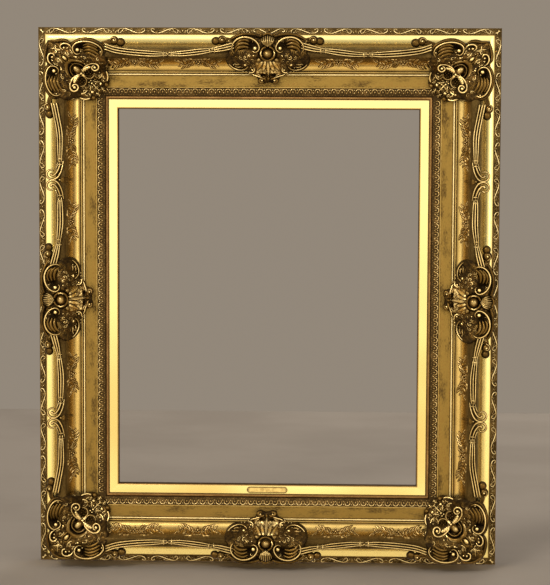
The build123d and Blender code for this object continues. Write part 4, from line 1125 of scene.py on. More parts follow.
def corner_half():
    """Carving on the horizontal arm of a corner; u is the distance along it and v the distance in."""
    return [
        # the raised edge next to the tip, marked dark as painted shade
        roll([(31, 35, 98, 2.6), (36, 29.6, 102, 3.0), (46, 26.6, 104, 3.2), (57, 24.8, 105.5, 3.2),
              (67, 26, 106.5, 2.8), (73.6, 30.6, 106, 2.0)], 2.2, 10, deep=3.0, dark=0.05, bright=0.28),
        # the hood over the C scroll, marked dark as painted shade
        roll([(77, 34, 106, 2.2), (82, 28.6, 108, 3.2), (91, 25, 109, 3.4), (103, 23.4, 109.5, 3.4),
              (115, 24.4, 109, 3.4), (126, 28, 107.5, 3.4), (135, 33.4, 106, 3.3), (140.5, 40.6, 104, 3.0),
              (141, 49, 101, 2.4), (138, 56, 98, 1.4)], 2.2, 10, deep=3.0, dark=0.05, bright=0.26),
        # the rim of the C scroll, with its eye and a bead
        scroll_rim([(94, 50, 106, 1.3), (88, 52, 108, 1.8), (82.6, 48.6, 110.5, 1.9),
                    (80.2, 42.6, 112.5, 1.9), (81, 36.6, 113.5, 1.9), (85.6, 31.6, 114, 2.0),
                    (93, 28.6, 114.6, 2.1), (103, 27.2, 115, 2.2), (114, 28.2, 114.6, 2.2),
                    (124, 31.6, 113, 2.1), (132, 36.8, 111.6, 2.1), (136.6, 43, 110, 2.0),
                    (137.2, 49.6, 108, 1.9), (134, 56, 105, 1.3)]),
        dome(89.4, 43.4, 114, 4.3, deep=2.5, sides=16, rows=6),
        dome(86.4, 57.6, 110.5, 3.1, 2.5, deep=2.5, sides=12, rows=5),
        # the ribs inside it
        *scroll_lobes((((99, 34.6), (109, 31.6), (119, 33.4), (128, 39), 110.5, 2.8),
                       ((98.4, 39.6), (108, 37.2), (119, 39.4), (129.5, 45.4), 109.5, 3.1),
                       ((98.6, 44.6), (109, 43), (119.6, 45.8), (130, 52.4), 108, 3.2),
                       ((99.6, 49.6), (109.6, 49), (119, 52.4), (127.6, 59), 105.5, 3.0),
                       ((100, 54.6), (108, 55.4), (115, 59.6), (120.6, 66), 102, 2.8))),
        *small_curls(CORNER_OUTLINE, corner_top, CORNER_CLEAR, 9.6, 31, lambda u, v: u > v + 4),
        # the small scroll between it and the tip
        roll([(78, 41, 105, 1.0), (74.6, 35.4, 108.5, 1.6), (68.6, 31.6, 110, 1.7), (61, 31.4, 110, 1.7),
              (55.6, 35.4, 109.5, 1.7), (56, 41.4, 108.5, 1.6), (60.6, 44, 107, 1.2)], 1.8, 8, deep=3.0),
        dome(62.6, 39.4, 110, 2.5, deep=2.5, sides=12, rows=4),
        dome(69, 39.6, 107, 2.0, deep=2.5),
        # beads in the gaps
        *studs(((94.6, 46.4, 104, 1.7), (104, 59.6, 101, 1.8), (96, 56.6, 103, 1.7), (134.6, 62, 97, 1.9),
                (107.5, 66.6, 99, 2.3), (82.6, 56.2, 107, 1.7), (128, 66, 95, 1.8), (134, 47, 106, 2.2),
                (78.6, 49, 106, 2.0), (76, 45, 106, 1.6)), deep=2.5, sides=8, rows=3),
        *frond((45, 36), (51, 52), 104.5, 3, 7.5, 2.5),
        *frond((64, 47), (73, 59), 106.5, 3, 6.5, 2.3),
        *frond((60, 52), (54, 60), 105, 2, 6.0, 2.3),
        *frond((101, 62), (126, 62.5), 99.5, 4, 8.0, 2.6, bow=-2.5),
        *frond((104, 70), (134, 70.5), 92.5, 4, 7.5, 2.6, bow=-2.0),
        # the horn
        roll([(95, 87.6, 88, 1.6), (100, 81, 91, 2.2), (106.6, 75.6, 93, 2.4), (114.6, 72, 94.5, 2.5),
              (123, 72.6, 94.5, 2.5), (128.2, 78, 93, 2.4), (127, 85, 91.5, 2.3), (121, 88.2, 91, 2.2),
              (115.4, 84.6, 91.5, 2.0), (115.8, 79, 92.5, 1.8), (119.6, 77, 93.4, 1.4)], 1.8, 10, deep=3.0,
             bright=0.95, keen=3.0),
        dome(121, 81.2, 95.5, 3.6, deep=2.5, sides=14, rows=5),
        # the wrapped cone under it
        roll([(92, 91, 86.5, 3.4), (97.6, 86.4, 89.4, 4.6), (104.6, 82, 90.8, 4.4), (111.6, 80, 91.5, 2.8)],
             1.8, 12, rise=0.8, deep=2.6, dark=0.35),
        *[wrapping(*place) for place in ((96.4, 87.6, -0.65, 4.6, 90.4), (100.2, 84.8, -0.6, 4.8, 91.2),
                                         (104.4, 82.4, -0.5, 4.6, 92), (108.4, 80.8, -0.35, 3.8, 92.4))],
        # the loop next to the mitre and its berries
        roll([(98.4, 91, 82, 1.1), (99.6, 97.6, 81, 1.6), (104.6, 102.4, 80, 1.8), (111.6, 102.6, 79, 1.8),
              (117, 98.4, 79.6, 1.7), (118.6, 92, 82, 1.2)], 1.8, 8, deep=3.0, bright=0.72, keen=3.0),
        *[berry(u, v) for u, v in ((103.4, 93.6), (107, 97.6), (110.8, 93.6), (114.4, 96), (107.2, 90.2),
                                   (112.8, 89.8), (103, 97.6), (111, 99.6))],
        *bands(([(137.5, 59.5, 91, 1.3), (142.6, 64, 89, 1.8), (144, 71, 85, 1.9), (141.6, 78.4, 80, 1.9),
                 (136, 81.6, 77, 1.8), (131.6, 79, 78, 1.2)], [(125, 85.4, 76, 1.2), (130.6, 86.4, 75, 1.7),
                (132.8, 92, 72, 1.8), (130.6, 98.6, 69, 1.8), (125, 103, 66, 1.3)],
                [(136.6, 85.6, 71, 1.2), (141.6, 91, 68, 1.8), (143.4, 99.6, 65, 1.9),
                 (141.6, 107.4, 63, 1.7)]), 1.8, 8, deep=3.0),
        dome(140.4, 114.6, 66, 5.0, deep=2.0, sides=16, rows=6, bright=0.55),
        dome(129.4, 113, 67, 3.0, 4.2, 0.3, deep=2.0, sides=12, rows=5),
        *frond((112, 106), (128, 109), 65, 3, 6.5, 2.3, bow=1.5),
        *frond((133, 90), (137, 104), 67, 3, 5.5, 2.1, bow=1.0),
        *frond((131, 118), (137, 127), 60.5, 2, 5.5, 2.1),
        # beads in the gaps
        *studs(((127.6, 90.6, 73, 1.8), (126.6, 96.6, 70, 1.8), (110, 106.4, 69, 2.3), (119, 112.6, 65, 2.1),
                (137, 92, 69, 1.7), (138, 98.6, 66, 1.7), (134.6, 107, 63, 1.7), (139.6, 68, 86, 1.9),
                (139.4, 74.4, 82, 1.8), (134, 75, 84, 1.7), (122, 119, 62, 1.8), (139, 83, 74, 1.7)),
               deep=2.2, sides=8, rows=3),
    ]


def corner_middle():
    """Carving that lies on the mitre line of a corner."""
    return [
        # the broad border of the stone, its painted highlight dimmest at the mitre
        roll(brightened(over_mitre([(105, 76.6, 90, 2.4), (100, 70.4, 95, 3.6), (92, 66.4, 99, 4.4),
                                    (83, 65, 101.5, 4.8), (75, 66.6, 103.5, 5.0), (70.6, 70.6, 104.2, 5.2)]),
                        lambda i: 0.45 + 0.55 * abs(i - 5) / 5), 2.0, 14, rise=0.62, deep=1.6, dark=0.1,
             bright=0.86, keen=3.0),
        # the fine line inside it
        roll(over_mitre([(98, 78.6, 91, 1.0), (91.6, 74.2, 94, 1.4), (83, 73, 96, 1.5), (77, 77, 97, 1.5)]),
             2.0, 8, deep=2.5, bright=0.6),
        dome(85.4, 85.4, 98.5, 10.6, 7.6, pi / 4, deep=1.2, sides=28, rows=9, dark=0.2, bright=0.72),
        dome(64, 64, 112.5, 7.6, 4.0, pi / 4, deep=1.8, sides=16, rows=6, dark=0.15, bright=0.9),
        dome(53.6, 53.6, 109, 3.8, deep=2.0, sides=14, rows=5, bright=0.6),
        *[roll([(55, 55, 105, 1.6), (60 + 4 * way, 60 - 4 * way, 108, 2.6),
                (70 + 4 * way, 70 - 4 * way, 105, 1.2)], 2.0, 8, deep=2.4, dark=0.1, bright=0.55)
          for way in (-1, 1)],
        *frond((35, 35), (50, 50), 103.5, 3, 7.0, 2.8, bow=0.0, bright=0.6),
        dome(35.4, 35.4, 103, 6.0, deep=1.4, sides=18, rows=7, bright=0.5),
        roll([(91, 91, 87, 2.6), (97.6, 97.6, 83, 3.6), (103.6, 103.6, 74, 1.6)], 2.0, 10, deep=2.2,
             dark=0.3),
        dome(93.4, 93.4, 90.5, 3.6, deep=1.8, sides=14, rows=5),
        *frond((106, 106), (127, 127), 63, 4, 8.0, 2.7, bow=0.0),
        dome(112, 112, 68, 2.8, deep=2.0, sides=12, rows=5),
    ]


def corner_mesh():
    half = corner_half()
    shapes = half + across_mitre(half) + corner_middle()
    return carved([ground(CORNER_OUTLINE, corner_top, corner_under)] + shapes, "corner")


# The lobes by the vine lie a little lower on every corner, as the photo shows them.
CORNER_LEAN = 5.0
corner_master = corner_mesh()
for name, (way_x, way_z) in {"top_left": (-1, 1), "top_right": (1, 1), "bottom_left": (-1, -1),
                             "bottom_right": (1, -1)}.items():
    mesh = corner_master.copy()
    points = corners_of(mesh)
    u, v = points[:, 0] / MM, -points[:, 2] / MM
    lean = CORNER_LEAN * way_z * np.clip((86 - v) / 30, 0, 1)
    lean = lean * np.clip((u - v) / 20, 0, 1) * np.clip((v - 12) / 12, 0.4, 1)
    points[:, 2] -= lean * MM
    mesh.vertices.foreach_set("co", points.ravel())
    mesh.transform(Matrix.Diagonal((-way_x, 1, way_z, 1)))
    mesh.transform(Matrix.Translation(Vector((way_x * FRAME_WIDTH / 2, 0, way_z * FRAME_HEIGHT / 2)) * MM))
    outward(mesh, 0)
    piece(f"corner_cartouche_{name}", mesh, ornament_gilding, "ornament_gilding", f"corner_ornament_{name}")

# Centre ornaments. One on the middle of each side: a fluted shell over a round stone, C scrolls,
# leafy ears, a frill of seven leaves and twin volutes that lie over the frieze.
CENTRE_RIGHT = [(0, 13.6), (6, 14), (11, 17.4), (17, 18.6), (24, 15.6), (34, 14.6), (45, 14.6), (57, 17),
                (67, 21), (77, 25.5), (79.5, 32), (75.5, 39), (76.5, 47), (77.5, 53), (81.5, 59.5),
                (82.5, 67), (79, 76), (71, 83), (60, 87.6), (50, 88.4), (42, 87.6), (38.6, 91), (31, 96),
                (23.5, 98.6), (21, 103.5), (19, 109.6), (12, 111.6), (4, 109.4), (0, 109)]
CENTRE_OUTLINE = CENTRE_RIGHT + [(-x, s) for x, s in CENTRE_RIGHT[-2:0:-1]]
CENTRE_STATIONS = [13.4, 20, 35, 50, 60, 68, 74, 82, 96, 113]
CENTRE_HEIGHTS = [90, 99, 104, 106, 104.5, 98, 86, 68, 56.5, 53.4]


def centre_top(x, s):
    far = np.abs(x)
    height = np.interp(s, CENTRE_STATIONS, CENTRE_HEIGHTS)
    ear = swell(far, s, (60, 70), (16, 11))
    bowl = swell(far, s, (30, 37), (8, 8)) + 0.5 * swell(far, s, (50, 42), (17, 11))
    dish = np.exp(-(((np.hypot(x, s - 55) - 12.5) / 4) ** 2))
    height -= 9.0 * ear + 9.0 * bowl + 5.0 * dish
    shield = np.clip((27 - far) / 4, 0, 1) * np.clip((s - 66) / 4, 0, 1) * np.clip((96 - s) / 4, 0, 1)
    seam = np.exp(-((far / 2.6) ** 2))
    grain = pebbles(x, s, 0.9)
    height += shield * (4.5 * (1 - seam) + 0.8 * grain)
    lumps = pebbles(x, s, 2.4)
    height += 1.2 * lumps + 0.6 * pebbles(x + 5, s, 1.4)
    crest = (0.08 + 0.16 * lumps) * (1 - 0.85 * np.clip(bowl + dish, 0, 1)) * (1 - shield)
    return height, crest + shield * (0.52 + 0.34 * grain) * (1 - 0.8 * seam)


def centre_under(_, s):
    slope = np.interp(s, [13.4, 46, 47], [90, 46, 0])
    return np.maximum(seat_height(s), slope) + 0.02


CENTRE_CLEAR = [(24, 45, 12), (0, 55, 30), (40, 38, 13), (54, 38, 13), (64, 44, 10), (8, 30, 14), (45, 75, 7),
                (60, 74, 9), (70, 68, 7), (30, 85, 6), (14, 86, 13), (14, 104, 9), (14, 76, 12), (60, 27, 7)]


def centre_half():
    """Carving on one half of a centre ornament."""
    return [
        # the hood over the C scroll, marked dark as painted shade
        roll([(13, 21.6, 108, 2.2), (19, 19.4, 109.5, 3.2), (27, 17.6, 110.5, 3.4), (37, 17, 110.5, 3.4),
              (48, 17.4, 109.5, 3.4), (59, 20.4, 108, 3.3), (69, 25, 106, 3.2), (76.6, 30, 103.5, 2.6)], 2.2,
             10, deep=3.0, dark=0.05, bright=0.26),
        # the rim of the C scroll and its eye
        scroll_rim([(30, 50, 108, 1.3), (24.4, 52.4, 110, 1.8), (18.6, 49.6, 112.5, 1.9),
                    (16.2, 44, 114, 1.9), (18.2, 37.2, 115, 1.9), (23, 31, 115.6, 2.0),
                    (30.4, 26.2, 116, 2.1), (39.4, 23.6, 116.2, 2.2), (49, 23.6, 115.4, 2.2),
                    (58.6, 27, 114, 2.2), (66, 33.6, 112.4, 2.1), (69.4, 41.5, 110.6, 2.1),
                    (68.8, 49, 108.6, 1.9), (65, 54.6, 106, 1.3)]),
        dome(24.4, 44.8, 118, 4.3, deep=2.5, sides=16, rows=6),
        # the ribs inside it
        *scroll_lobes((((35, 31.4), (45, 27.6), (55, 30.4), (62.4, 37), 111.5, 2.7),
                       ((36, 37), (47, 34), (57, 37), (64, 44), 110.5, 3.0),
                       ((36.4, 42.4), (47.6, 41), (57.6, 44), (63.4, 51.4), 108.5, 3.0),
                       ((37, 48), (47, 48), (55.6, 51.6), (60.4, 58), 105, 2.9),
                       ((36, 53.6), (43.6, 55.4), (50, 59.6), (53, 65), 100.5, 2.6))),
        *small_curls(CENTRE_RIGHT + [(-2, 60)], centre_top, CENTRE_CLEAR, 9.2, 17, lambda x, s: x > 3),
        # the leafy ear, its eye, lobes and edge beads; the painted highlight on the ear's rim comes and goes
        # along it
        roll(brightened([(70, 50.6, 100, 1.2), (75.4, 54.8, 98, 1.8), (79.2, 61.4, 94, 2.0),
                         (78.8, 69.4, 87.5, 2.0), (74.4, 76.8, 80, 2.0), (67, 82, 73.5, 2.0),
                         (58, 85, 70.5, 2.0), (48.6, 84.8, 70.5, 1.9), (41.6, 81, 73, 1.9),
                         (38.4, 75, 77, 1.8), (41, 70, 80.5, 1.4)], lambda i: 0.6 + 0.4 * abs(cos(0.62 * i))),
             2.0, 10, deep=3.0, keen=5.0),
        dome(44.8, 75, 82, 3.8, deep=2.5, sides=14, rows=5),
        # its lobes
        *[roll([(*a, top - 4, half * 0.5), (*b, top, half), (*c, top - 1.5, half * 0.4)], 2.0, 8, deep=2.6,
               dark=0.08, bright=0.72, keen=3.0)
          for a, b, c, top, half in (((51, 77.4), (58, 80), (66, 78.4), 76, 2.5),
                                     ((52, 73.4), (61.6, 74.6), (71, 72), 81, 2.8),
                                     ((52, 69), (63, 69), (74.6, 65.4), 86.5, 2.9),
                                     ((52.6, 64.4), (63, 62.6), (73.6, 58.4), 92, 2.7))],
        *[dome(x - 3.2, s - 2.2, 96 - 3.4 * i, 1.5, deep=2.5, sides=8, rows=3, bright=0.8)
          for i, (x, s) in enumerate(((76.4, 57.4), (77.6, 63), (77.2, 68.4), (74.8, 73.4), (71, 77.4),
                                      (66, 80.4), (60.4, 82.2), (54.6, 82.6)))],
        # the small scroll under the ear
        roll([(38, 87.6, 63, 1.1), (34.6, 90, 65, 1.6), (29.4, 89, 67.5, 1.8), (27, 84.6, 69, 1.8),
              (29.6, 80.6, 70, 1.7), (34, 81.6, 70, 1.3)], 1.6, 8, deep=3.0),
        dome(31.2, 85, 71.5, 2.6, deep=2.5, sides=12, rows=4),
        # the bracket towards the frieze
        roll([(33, 92, 60.5, 1.0), (28, 95, 61.5, 1.6), (22.4, 96.4, 62.5, 1.8), (17, 98.4, 63, 1.8),
              (12, 99.6, 63.5, 1.4)], 1.8, 8, deep=3.0),
        *frond((27, 91), (15, 96), 63, 2, 4.8, 1.9, bow=0.5),
        *frond((40, 90), (35, 93), 61, 2, 4.0, 1.6, bow=0.5),
        # the volute on the frieze
        roll([(4.6, 103.4, 63, 1.6), (9, 101.6, 65, 2.6), (14, 102.6, 66, 3.2), (17.4, 106.2, 65.6, 3.2),
              (15, 109.4, 64.6, 2.6), (10, 109.6, 64, 2.0)], 1.8, 10, deep=2.4, dark=0.05, bright=0.6),
        dome(12.4, 105.6, 67.6, 2.6, deep=2.5, sides=12, rows=4, bright=0.9),
        # beads in the gaps
        *studs(((28, 58.6, 106, 1.9), (34, 60.6, 102, 1.7), (31, 64.6, 99, 1.7), (36.4, 66.4, 94, 1.8),
                (34, 71, 88, 1.7), (72, 46, 104, 1.6), (75, 51, 101, 1.5), (32.6, 76.4, 80, 1.6),
                (44, 88.2, 61, 1.5), (50, 88, 61, 1.4), (21, 92.4, 64, 1.6), (28, 76, 82, 1.5),
                (40, 62, 99, 1.5)), deep=2.5, sides=8, rows=3),
        *frond((34, 60), (40, 70), 96, 2, 5.5, 2.1),
        *frond((44, 60), (48, 68), 96, 2, 5.0, 2.0),
        *frond((16, 21), (9, 17), 104, 2, 4.6, 2.2, bow=0.5, bright=0.5),
    ]


FRILL_START = 14.2
# share of the length, lift, half width and brightness of the painted highlight along one leaf of the frill
LEAF_SHAPE = ((0.0, 2.4, 2.2, 0.6), (0.3, 5.6, 4.0, 1.0), (0.6, 5.2, 4.4, 1.0), (0.85, 3.6, 3.0, 0.9),
              (1.0, 1.6, 1.0, 0.6))


def centre_middle():
    """Carving on the middle line: the shell, the stone in its ring, the leaf frill and the drop."""
    shapes = []
    for i in range(-3, 4):
        lean = 0.15 * i
        start = (6.4 * sin(lean * 2.2), 42 - 1.0 * abs(i))
        end = (29 * sin(lean), 46.5 - 26.4 * cos(lean) + 0.6 * abs(i))
        mid = ((start[0] + end[0]) / 2 * 1.14, (start[1] + end[1]) / 2)
        flute = [(*start, 113.5 - abs(i), 1.2), (*mid, 116.6 - 1.1 * abs(i), 2.3),
                 (*end, 110.5 - 1.2 * abs(i), 1.5)]
        shapes.append(roll(flute, 1.8, 10, deep=2.2, dark=0.03, bright=0.78, keen=3.0))
    shapes.append(roll(both_ways([(-9, 19.6, 107, 1.6), (-4, 16.6, 107, 2.6), (0, 15.8, 107, 2.9)]), 1.8, 10,
                       deep=2.4, bright=0.4))
    turns = np.linspace(0.3, 2 * pi - 0.3, 18)
    ring = [(13.8 * sin(a), 55 - 13.4 * cos(a), 113, 2.0) for a in turns]
    shapes.append(roll(ring, 1.8, 10, deep=2.5, bright=0.5))
    for way in (-1, 1):
        shapes.append(roll([(way * 11.4, 49.6, 113, 0.9), (way * 13.6, 55, 115, 1.9),
                            (way * 11.4, 60.4, 113, 0.9)], 1.6, 8, deep=2.0))
    shapes.append(dome(0, 55.4, 119, 9.6, 8.8, deep=1.2, sides=28, rows=9, dark=0.1, bright=0.66))
    def seated(x, s, lift):
        return (x, s, float(centre_top(np.array([x]), np.array([s]))[0][0]) + lift)
    # The painted highlight is brightest on the middle leaves of the frill and dimmer towards its sides.
    for i in range(-3, 4):
        turn = 0.34 * i
        reach = (1.1, 0.9)[abs(i) % 2] + 0.1 * cos(2 * turn)
        leaf = []
        for share, lift, half, bright in LEAF_SHAPE:
            away = FRILL_START + (36 * reach - FRILL_START) * share
            leaf.append((*seated(0.9 * away * sin(turn), 55 + away * cos(turn), lift), half,
                         bright * (1 - 0.045 * i * i)))
        shapes.append(roll(leaf, 1.6, 12, rise=0.9, deep=2.2, dark=0.2, bright=1.05, keen=1.6))
    for s, size in ((84, 1.8), (88, 1.6), (91.8, 1.5), (95.6, 2.3)):
        shapes.append(dome(*seated(0, s, 2.6), size, deep=2.5, sides=10, rows=3))
    shapes.append(dome(0, 101.4, 64.5, 2.8, 4.0, deep=2.0, sides=12, rows=4, bright=0.5))
    return shapes


def centre_mesh():
    half = centre_half()
    shapes = half + mirrored(half) + centre_middle()
    return carved([ground(CENTRE_OUTLINE, centre_top, centre_under)] + shapes, "centre")


centre_master = centre_mesh()
for side in SIDES:
    piece(f"centre_shell_{side}", on_side(centre_master, side), ornament_gilding, "ornament_gilding",
          f"centre_ornament_{side}")

# Cove sprays. Small clusters of leaves and a bud, cast thin and laid on the netted cove between the
# reeds and the beads.
spray_gilding = gilded("spray_gold", (1.0, 0.68, 0.25, 1), (0.22, 0.125, 0.03, 1), (0.04, 0.023, 0.007, 1),
                       0.3, 0.25)[0]
SPRAY_PLACES = {"top": ((-264, 52), (-138, 40), (138, 40), (264, 52)),
                "left": ((-312, 50), (-152, 38), (152, 38), (312, 50))}
SPRAY_PLACES["bottom"], SPRAY_PLACES["right"] = SPRAY_PLACES["top"], SPRAY_PLACES["left"]


def spray(x, reach, seed):
    """Two leafy stems that leave a five-petalled flower along the cove, with berries at their ends."""
    chance = np.random.default_rng(seed)

    def laid(a, b, lift, half):
        b = min(max(b, 64.6), 84.6)
        return (a, b, cove_height(b) + lift, half)
    shapes = []
    for way in (-1, 1):
        stem = [(x + way * 3, 72.5), (x + way * reach * 0.22, 68.6), (x + way * reach * 0.45, 72.6),
                (x + way * reach * 0.7, 76.6), (x + way * reach * 0.88, 72.6), (x + way * reach, 69)]
        shapes.append(roll([laid(a, b, 2.4, 1.0) for a, b in stem], 3.0, 6, deep=3.0, bright=0.8))
        count = max(5, int(reach / 7))
        for i, (a, b) in enumerate(smooth(stem, count + 2)[1:-1]):
            size = 1.1 - 0.45 * i / count
            for turn in (1, -1):
                long, wide = (11.0 + chance.uniform(-1.5, 1.5)) * size, 2.9 * size
                tip_a, tip_b = a + way * long * 0.8, b + turn * long * 0.72
                bend_a, bend_b = a + way * long * 0.28, b + turn * long * 0.52
                leaf = [laid(a, b, 2.2, wide * 0.4), laid(bend_a, bend_b, 3.4, wide),
                        laid(tip_a, tip_b, 1.6, wide * 0.3)]
                shapes.append(roll(leaf, 2.2, 6, deep=2.5, dark=0.03, bright=chance.uniform(0.6, 0.95)))
        for k in range(3):
            a, b = x + way * (reach + 1.5 + 2.2 * k), 69 - 1.2 * k
            shapes.append(dome(a, max(b, 65), cove_height(max(b, 65)) + 3.4, 1.4, deep=2.0, sides=6, rows=2))
    for k in range(5):
        turn = k * tau / 5 + 0.3
        a, b = x + 4.6 * cos(turn), 72.5 + 4.0 * sin(turn)
        shapes.append(dome(a, b, cove_height(b) + 4.6, 2.6, 1.8, turn, deep=2.0, sides=8, rows=3, dark=0.05,
                           bright=0.8))
    shapes.append(dome(x, 72.5, cove_height(72.5) + 6.0, 2.0, deep=2.0, sides=8, rows=3))
    return shapes


for side, places in SPRAY_PLACES.items():
    shapes = []
    for i, (x, reach) in enumerate(places):
        shapes += spray(x, reach, 7 + i)
    piece(f"leaf_sprays_{side}", on_side(carved(shapes, "sprays"), side), spray_gilding, "spray_gilding",
          f"cove_sprays_{side}")


# Title plate. A bare brass tablet with rounded ends on the bottom of the liner, held by two pins.
# Cut from sheet and rubbed by hand; a scored border is all that it carries.
def metal_effect():
    """Handled metal: faint rubbed scratches, darker in specks."""
    tree, given, end = effect(
        "handled_metal",
        {"Place": None, "Bright": (0.8, 0.6, 0.3, 1), "Dull": (0.3, 0.2, 0.08, 1), "Polish": 0.3},
        ("Color", "Rough", "Height"))
    place = given["Place"]
    cloud = noise(tree, place, 140.0, 5.0, Roughness=0.65)[0]
    scratch = noise(tree, drawn_out(tree, place, (60.0, 900.0, 1800.0)), 1.0, 2.0)[0]
    dull = spread(tree, cloud, 0.42, 0.68, 0.0, 0.8)
    rough = plus(tree, given["Polish"], times(tree, dull, 0.25))
    rough = maths(tree, "ADD", rough, times(tree, scratch, 0.12), clamp=True)
    colour = blend_colour(tree, dull, given["Bright"], given["Dull"])
    feed(tree, end, {"Color": colour, "Rough": rough, "Height": plus(tree, cloud, scratch)})
    return tree


HANDLED_METAL = metal_effect()


def metal_finish(name, bright, dull, polish):
    material, tree, shader = finish(name)
    metal = {"Place": here(tree), "Bright": bright, "Dull": dull, "Polish": polish}
    metal = add_node(tree, "ShaderNodeGroup", metal, node_tree=HANDLED_METAL).outputs
    feed(tree, shader, {"Metallic": 1.0, "Base Color": metal["Color"], "Roughness": metal["Rough"]})
    bump(tree, shader, metal["Height"], 0.12, 0.0002)
    return material


plate_brass = metal_finish("plate_brass", (0.86, 0.62, 0.21, 1), (0.50, 0.33, 0.10, 1), 0.36)
plate_low, plate_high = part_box("title_plate")
plate_tree = plate_brass.node_tree
plate_shader = plate_tree.nodes["Principled BSDF"]
plate_place = split(plate_tree, here(plate_tree))
middle_x, middle_z = ((plate_high[i] + plate_low[i]) / 2 for i in (0, 2))
end_radius = (plate_high[2] - plate_low[2]) / 2
spine_half = (plate_high[0] - plate_low[0]) / 2 - end_radius
along = size_of(plate_tree, minus(plate_tree, plate_place[0], middle_x))
past_end = maths(plate_tree, "MAXIMUM", minus(plate_tree, along, spine_half), 0.0)
up = minus(plate_tree, plate_place[2], middle_z)
from_spine = plus(plate_tree, times(plate_tree, past_end, past_end), times(plate_tree, up, up))
from_spine = maths(plate_tree, "SQRT", from_spine)
outer_side = spread(plate_tree, from_spine, end_radius - 0.0026, end_radius - 0.0022)
inner_side = spread(plate_tree, from_spine, end_radius - 0.0011, end_radius - 0.0015)
rim = spread(plate_tree, from_spine, end_radius - 0.0009, end_radius - 0.0005)
scored = maths(plate_tree, "MAXIMUM", times(plate_tree, outer_side, inner_side), rim)
plain_brass = plate_shader.inputs["Base Color"].links[0].from_socket
bordered = blend_colour(plate_tree, scored, plain_brass, (0.05, 0.028, 0.01, 1))
feed(plate_tree, plate_shader, {"Base Color": bordered})
dress("title_plate", plate_brass)
dress("title_plate_pins", metal_finish("pin_brass", (0.70, 0.50, 0.22, 1), (0.22, 0.13, 0.05, 1), 0.35))

# Fixings on the back. Butterfly keys across the mitres, brads behind the liner, strap hangers with
# their rings and screws, and the turn buttons that hold the picture in.
key_wood = wood_finish("key_hardwood", (0.33, 0.18, 0.085, 1), (0.17, 0.08, 0.035, 1), radians(45),
                       mitred=0.0)
dress("mitre_keys", key_wood)
BUTTONS = [f"turn_button_{side}_{level}" for side in ("left", "right") for level in ("upper", "lower")]
STEELS = {
    "nail_steel": ((0.42, 0.40, 0.37, 1), (0.14, 0.09, 0.06, 1), 0.5, ["liner_brads"]),
    "screw_steel": ((0.52, 0.50, 0.46, 1), (0.20, 0.16, 0.12, 1), 0.38, ["hanger_screws"]),
    "hanger_steel": ((0.60, 0.58, 0.54, 1), (0.26, 0.22, 0.17, 1), 0.34,
                     ["hanger_plate_left", "hanger_plate_right"]),
    "ring_steel": ((0.64, 0.62, 0.58, 1), (0.28, 0.24, 0.19, 1), 0.28,
                   ["hanger_ring_left", "hanger_ring_right"]),
    "button_steel": ((0.55, 0.53, 0.50, 1), (0.24, 0.19, 0.14, 1), 0.36, BUTTONS),
}
for name, (bright, dull, polish, nodes) in STEELS.items():
    steel = metal_finish(name, bright, dull, polish)
    for node in nodes:
        dress(node, steel)
# The screws of the buttons take the same plain steel as the hanger screws.
dress("turn_button_screws", bpy.data.materials["screw_steel"])

# Studio. A plain pale floor just under the frame, a large soft key from the upper left in front, a
# fill and a back light, and a quiet room. Mirrors see a brighter room and floor than the camera does.
FLOOR_LEVEL = -0.5372
floor_mesh = bpy.data.meshes.new("floor")
floor_corners = [(x, y, FLOOR_LEVEL) for x, y in ((-4, -4), (4, -4), (4, 2.2), (-4, 2.2))]
floor_mesh.from_pydata(floor_corners, [], [(0, 1, 2, 3)])
floor = bpy.data.objects.new("floor", floor_mesh)
bpy.context.scene.collection.objects.link(floor)
floor_finish, floor_tree, floor_shader = finish("pale_floor")
floor_cloud = spread(floor_tree, noise(floor_tree, here(floor_tree), 3.0, 4.0)[0], 0.3, 0.7)
floor_colour = blend_colour(floor_tree, floor_cloud, (0.29, 0.24, 0.19, 1), (0.33, 0.275, 0.22, 1))
feed(floor_tree, floor_shader, {"Base Color": floor_colour, "Roughness": 0.9})
forward = split(floor_tree, here(floor_tree))[1]
# Painted reflection: the floor's sheen, seen only by glossy rays, has a dim band a little in front of the
# frame and grows brighter further out.
sheen = plus(floor_tree, spread(floor_tree, forward, -0.2, -0.4, 0.65, 1.35),
             spread(floor_tree, forward, -0.15, -0.11, 0.0, 0.3))
pale_sheen = {"Color": (0.95, 0.84, 0.66, 1), "Strength": sheen}
pale_sheen = add_node(floor_tree, "ShaderNodeEmission", pale_sheen).outputs[0]


def by_ray(tree, kind, other, seen):
    """One shader for rays of a kind and another for the rest."""
    rays = add_node(tree, "ShaderNodeLightPath").outputs
    return add_node(tree, "ShaderNodeMixShader", {0: rays[kind], 1: other, 2: seen}).outputs[0]


floor_surface = by_ray(floor_tree, "Is Glossy Ray", floor_shader.outputs[0], pale_sheen)
feed(floor_tree, floor_tree.nodes["Material Output"], {"Surface": floor_surface})
floor_mesh.materials.append(floor_finish)

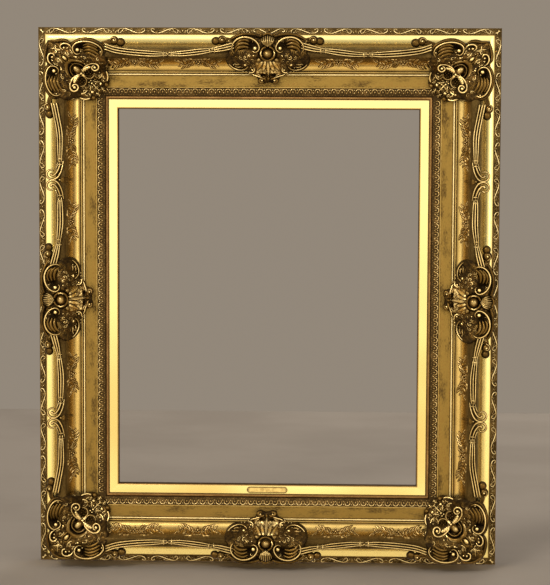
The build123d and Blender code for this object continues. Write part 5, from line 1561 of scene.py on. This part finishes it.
world = bpy.data.worlds.new("room")
bpy.context.scene.world = world
world.use_nodes = True
room = world.node_tree
room.nodes.clear()
gaze = add_node(room, "ShaderNodeTexCoord").outputs["Generated"]
TO_WINDOW = (-0.17, -0.93, 0.31)
facing = add_node(room, "ShaderNodeVectorMath", {0: gaze, 1: TO_WINDOW},
                  operation="DOT_PRODUCT").outputs["Value"]
glow = spread(room, facing, -0.35, 0.6)
mirror_glow = times(room, glow, spread(room, split(room, gaze)[2], 0.8, 1.0, 1.0, 0.38))
lit = blend_colour(room, glow, (0.30, 0.27, 0.23, 1), (1.0, 0.97, 0.92, 1))
mirror_lit = blend_colour(room, mirror_glow, (0.10, 0.085, 0.07, 1), (1.0, 0.98, 0.95, 1))
plain_room, mirror_room, seen_room = (
    add_node(room, "ShaderNodeBackground", {"Color": colour, "Strength": strength}).outputs[0]
    for colour, strength in ((lit, 0.8), (mirror_lit, 1.5), ((0.29, 0.245, 0.195, 1), 1.0)))
chosen = by_ray(room, "Is Camera Ray", by_ray(room, "Is Glossy Ray", plain_room, mirror_room), seen_room)
add_node(room, "ShaderNodeOutputWorld", {0: chosen})


def soft_lamp(name, place, target, width, power, colour):
    data = bpy.data.lights.new(name, "AREA")
    data.shape, data.size, data.energy, data.color = "SQUARE", width, power, colour
    lamp = bpy.data.objects.new(name, data)
    lamp.location = place
    lamp.rotation_euler = (Vector(target) - Vector(place)).to_track_quat("-Z", "Y").to_euler()
    bpy.context.scene.collection.objects.link(lamp)


soft_lamp("key", (-1.7, -3.2, 2.3), (0, 0, 0), 1.1, 62, (1.0, 0.97, 0.92))
soft_lamp("fill", (2.4, -3.0, 0.6), (0, 0, 0), 1.6, 16, (1.0, 0.96, 0.90))
soft_lamp("back", (1.2, 3.0, 1.8), (0, 0, 0), 2.0, 30, (1.0, 0.98, 0.95))

camera_data = bpy.data.cameras.new("camera")
camera_data.lens = 122.75
camera_data.sensor_fit = "VERTICAL"
camera_data.sensor_height = 36.0
camera_data.clip_end = 50.0
camera = bpy.data.objects.new("camera", camera_data)
yaw, pitch, tilt = radians(-1.847), radians(4.479), radians(0.246)
ahead = Vector((sin(yaw) * cos(pitch), cos(yaw) * cos(pitch), -sin(pitch)))
level = Vector((cos(yaw), -sin(yaw), 0))
upward = level.cross(ahead)
right = cos(tilt) * level + sin(tilt) * upward
above = -sin(tilt) * level + cos(tilt) * upward
turned = Matrix((right, above, -ahead)).transposed().to_4x4()
camera.matrix_world = Matrix.Translation((0.142, -4.0038, 0.3224)) @ turned
bpy.context.scene.collection.objects.link(camera)
bpy.context.scene.camera = camera
bpy.context.scene.view_settings.view_transform = "Standard"
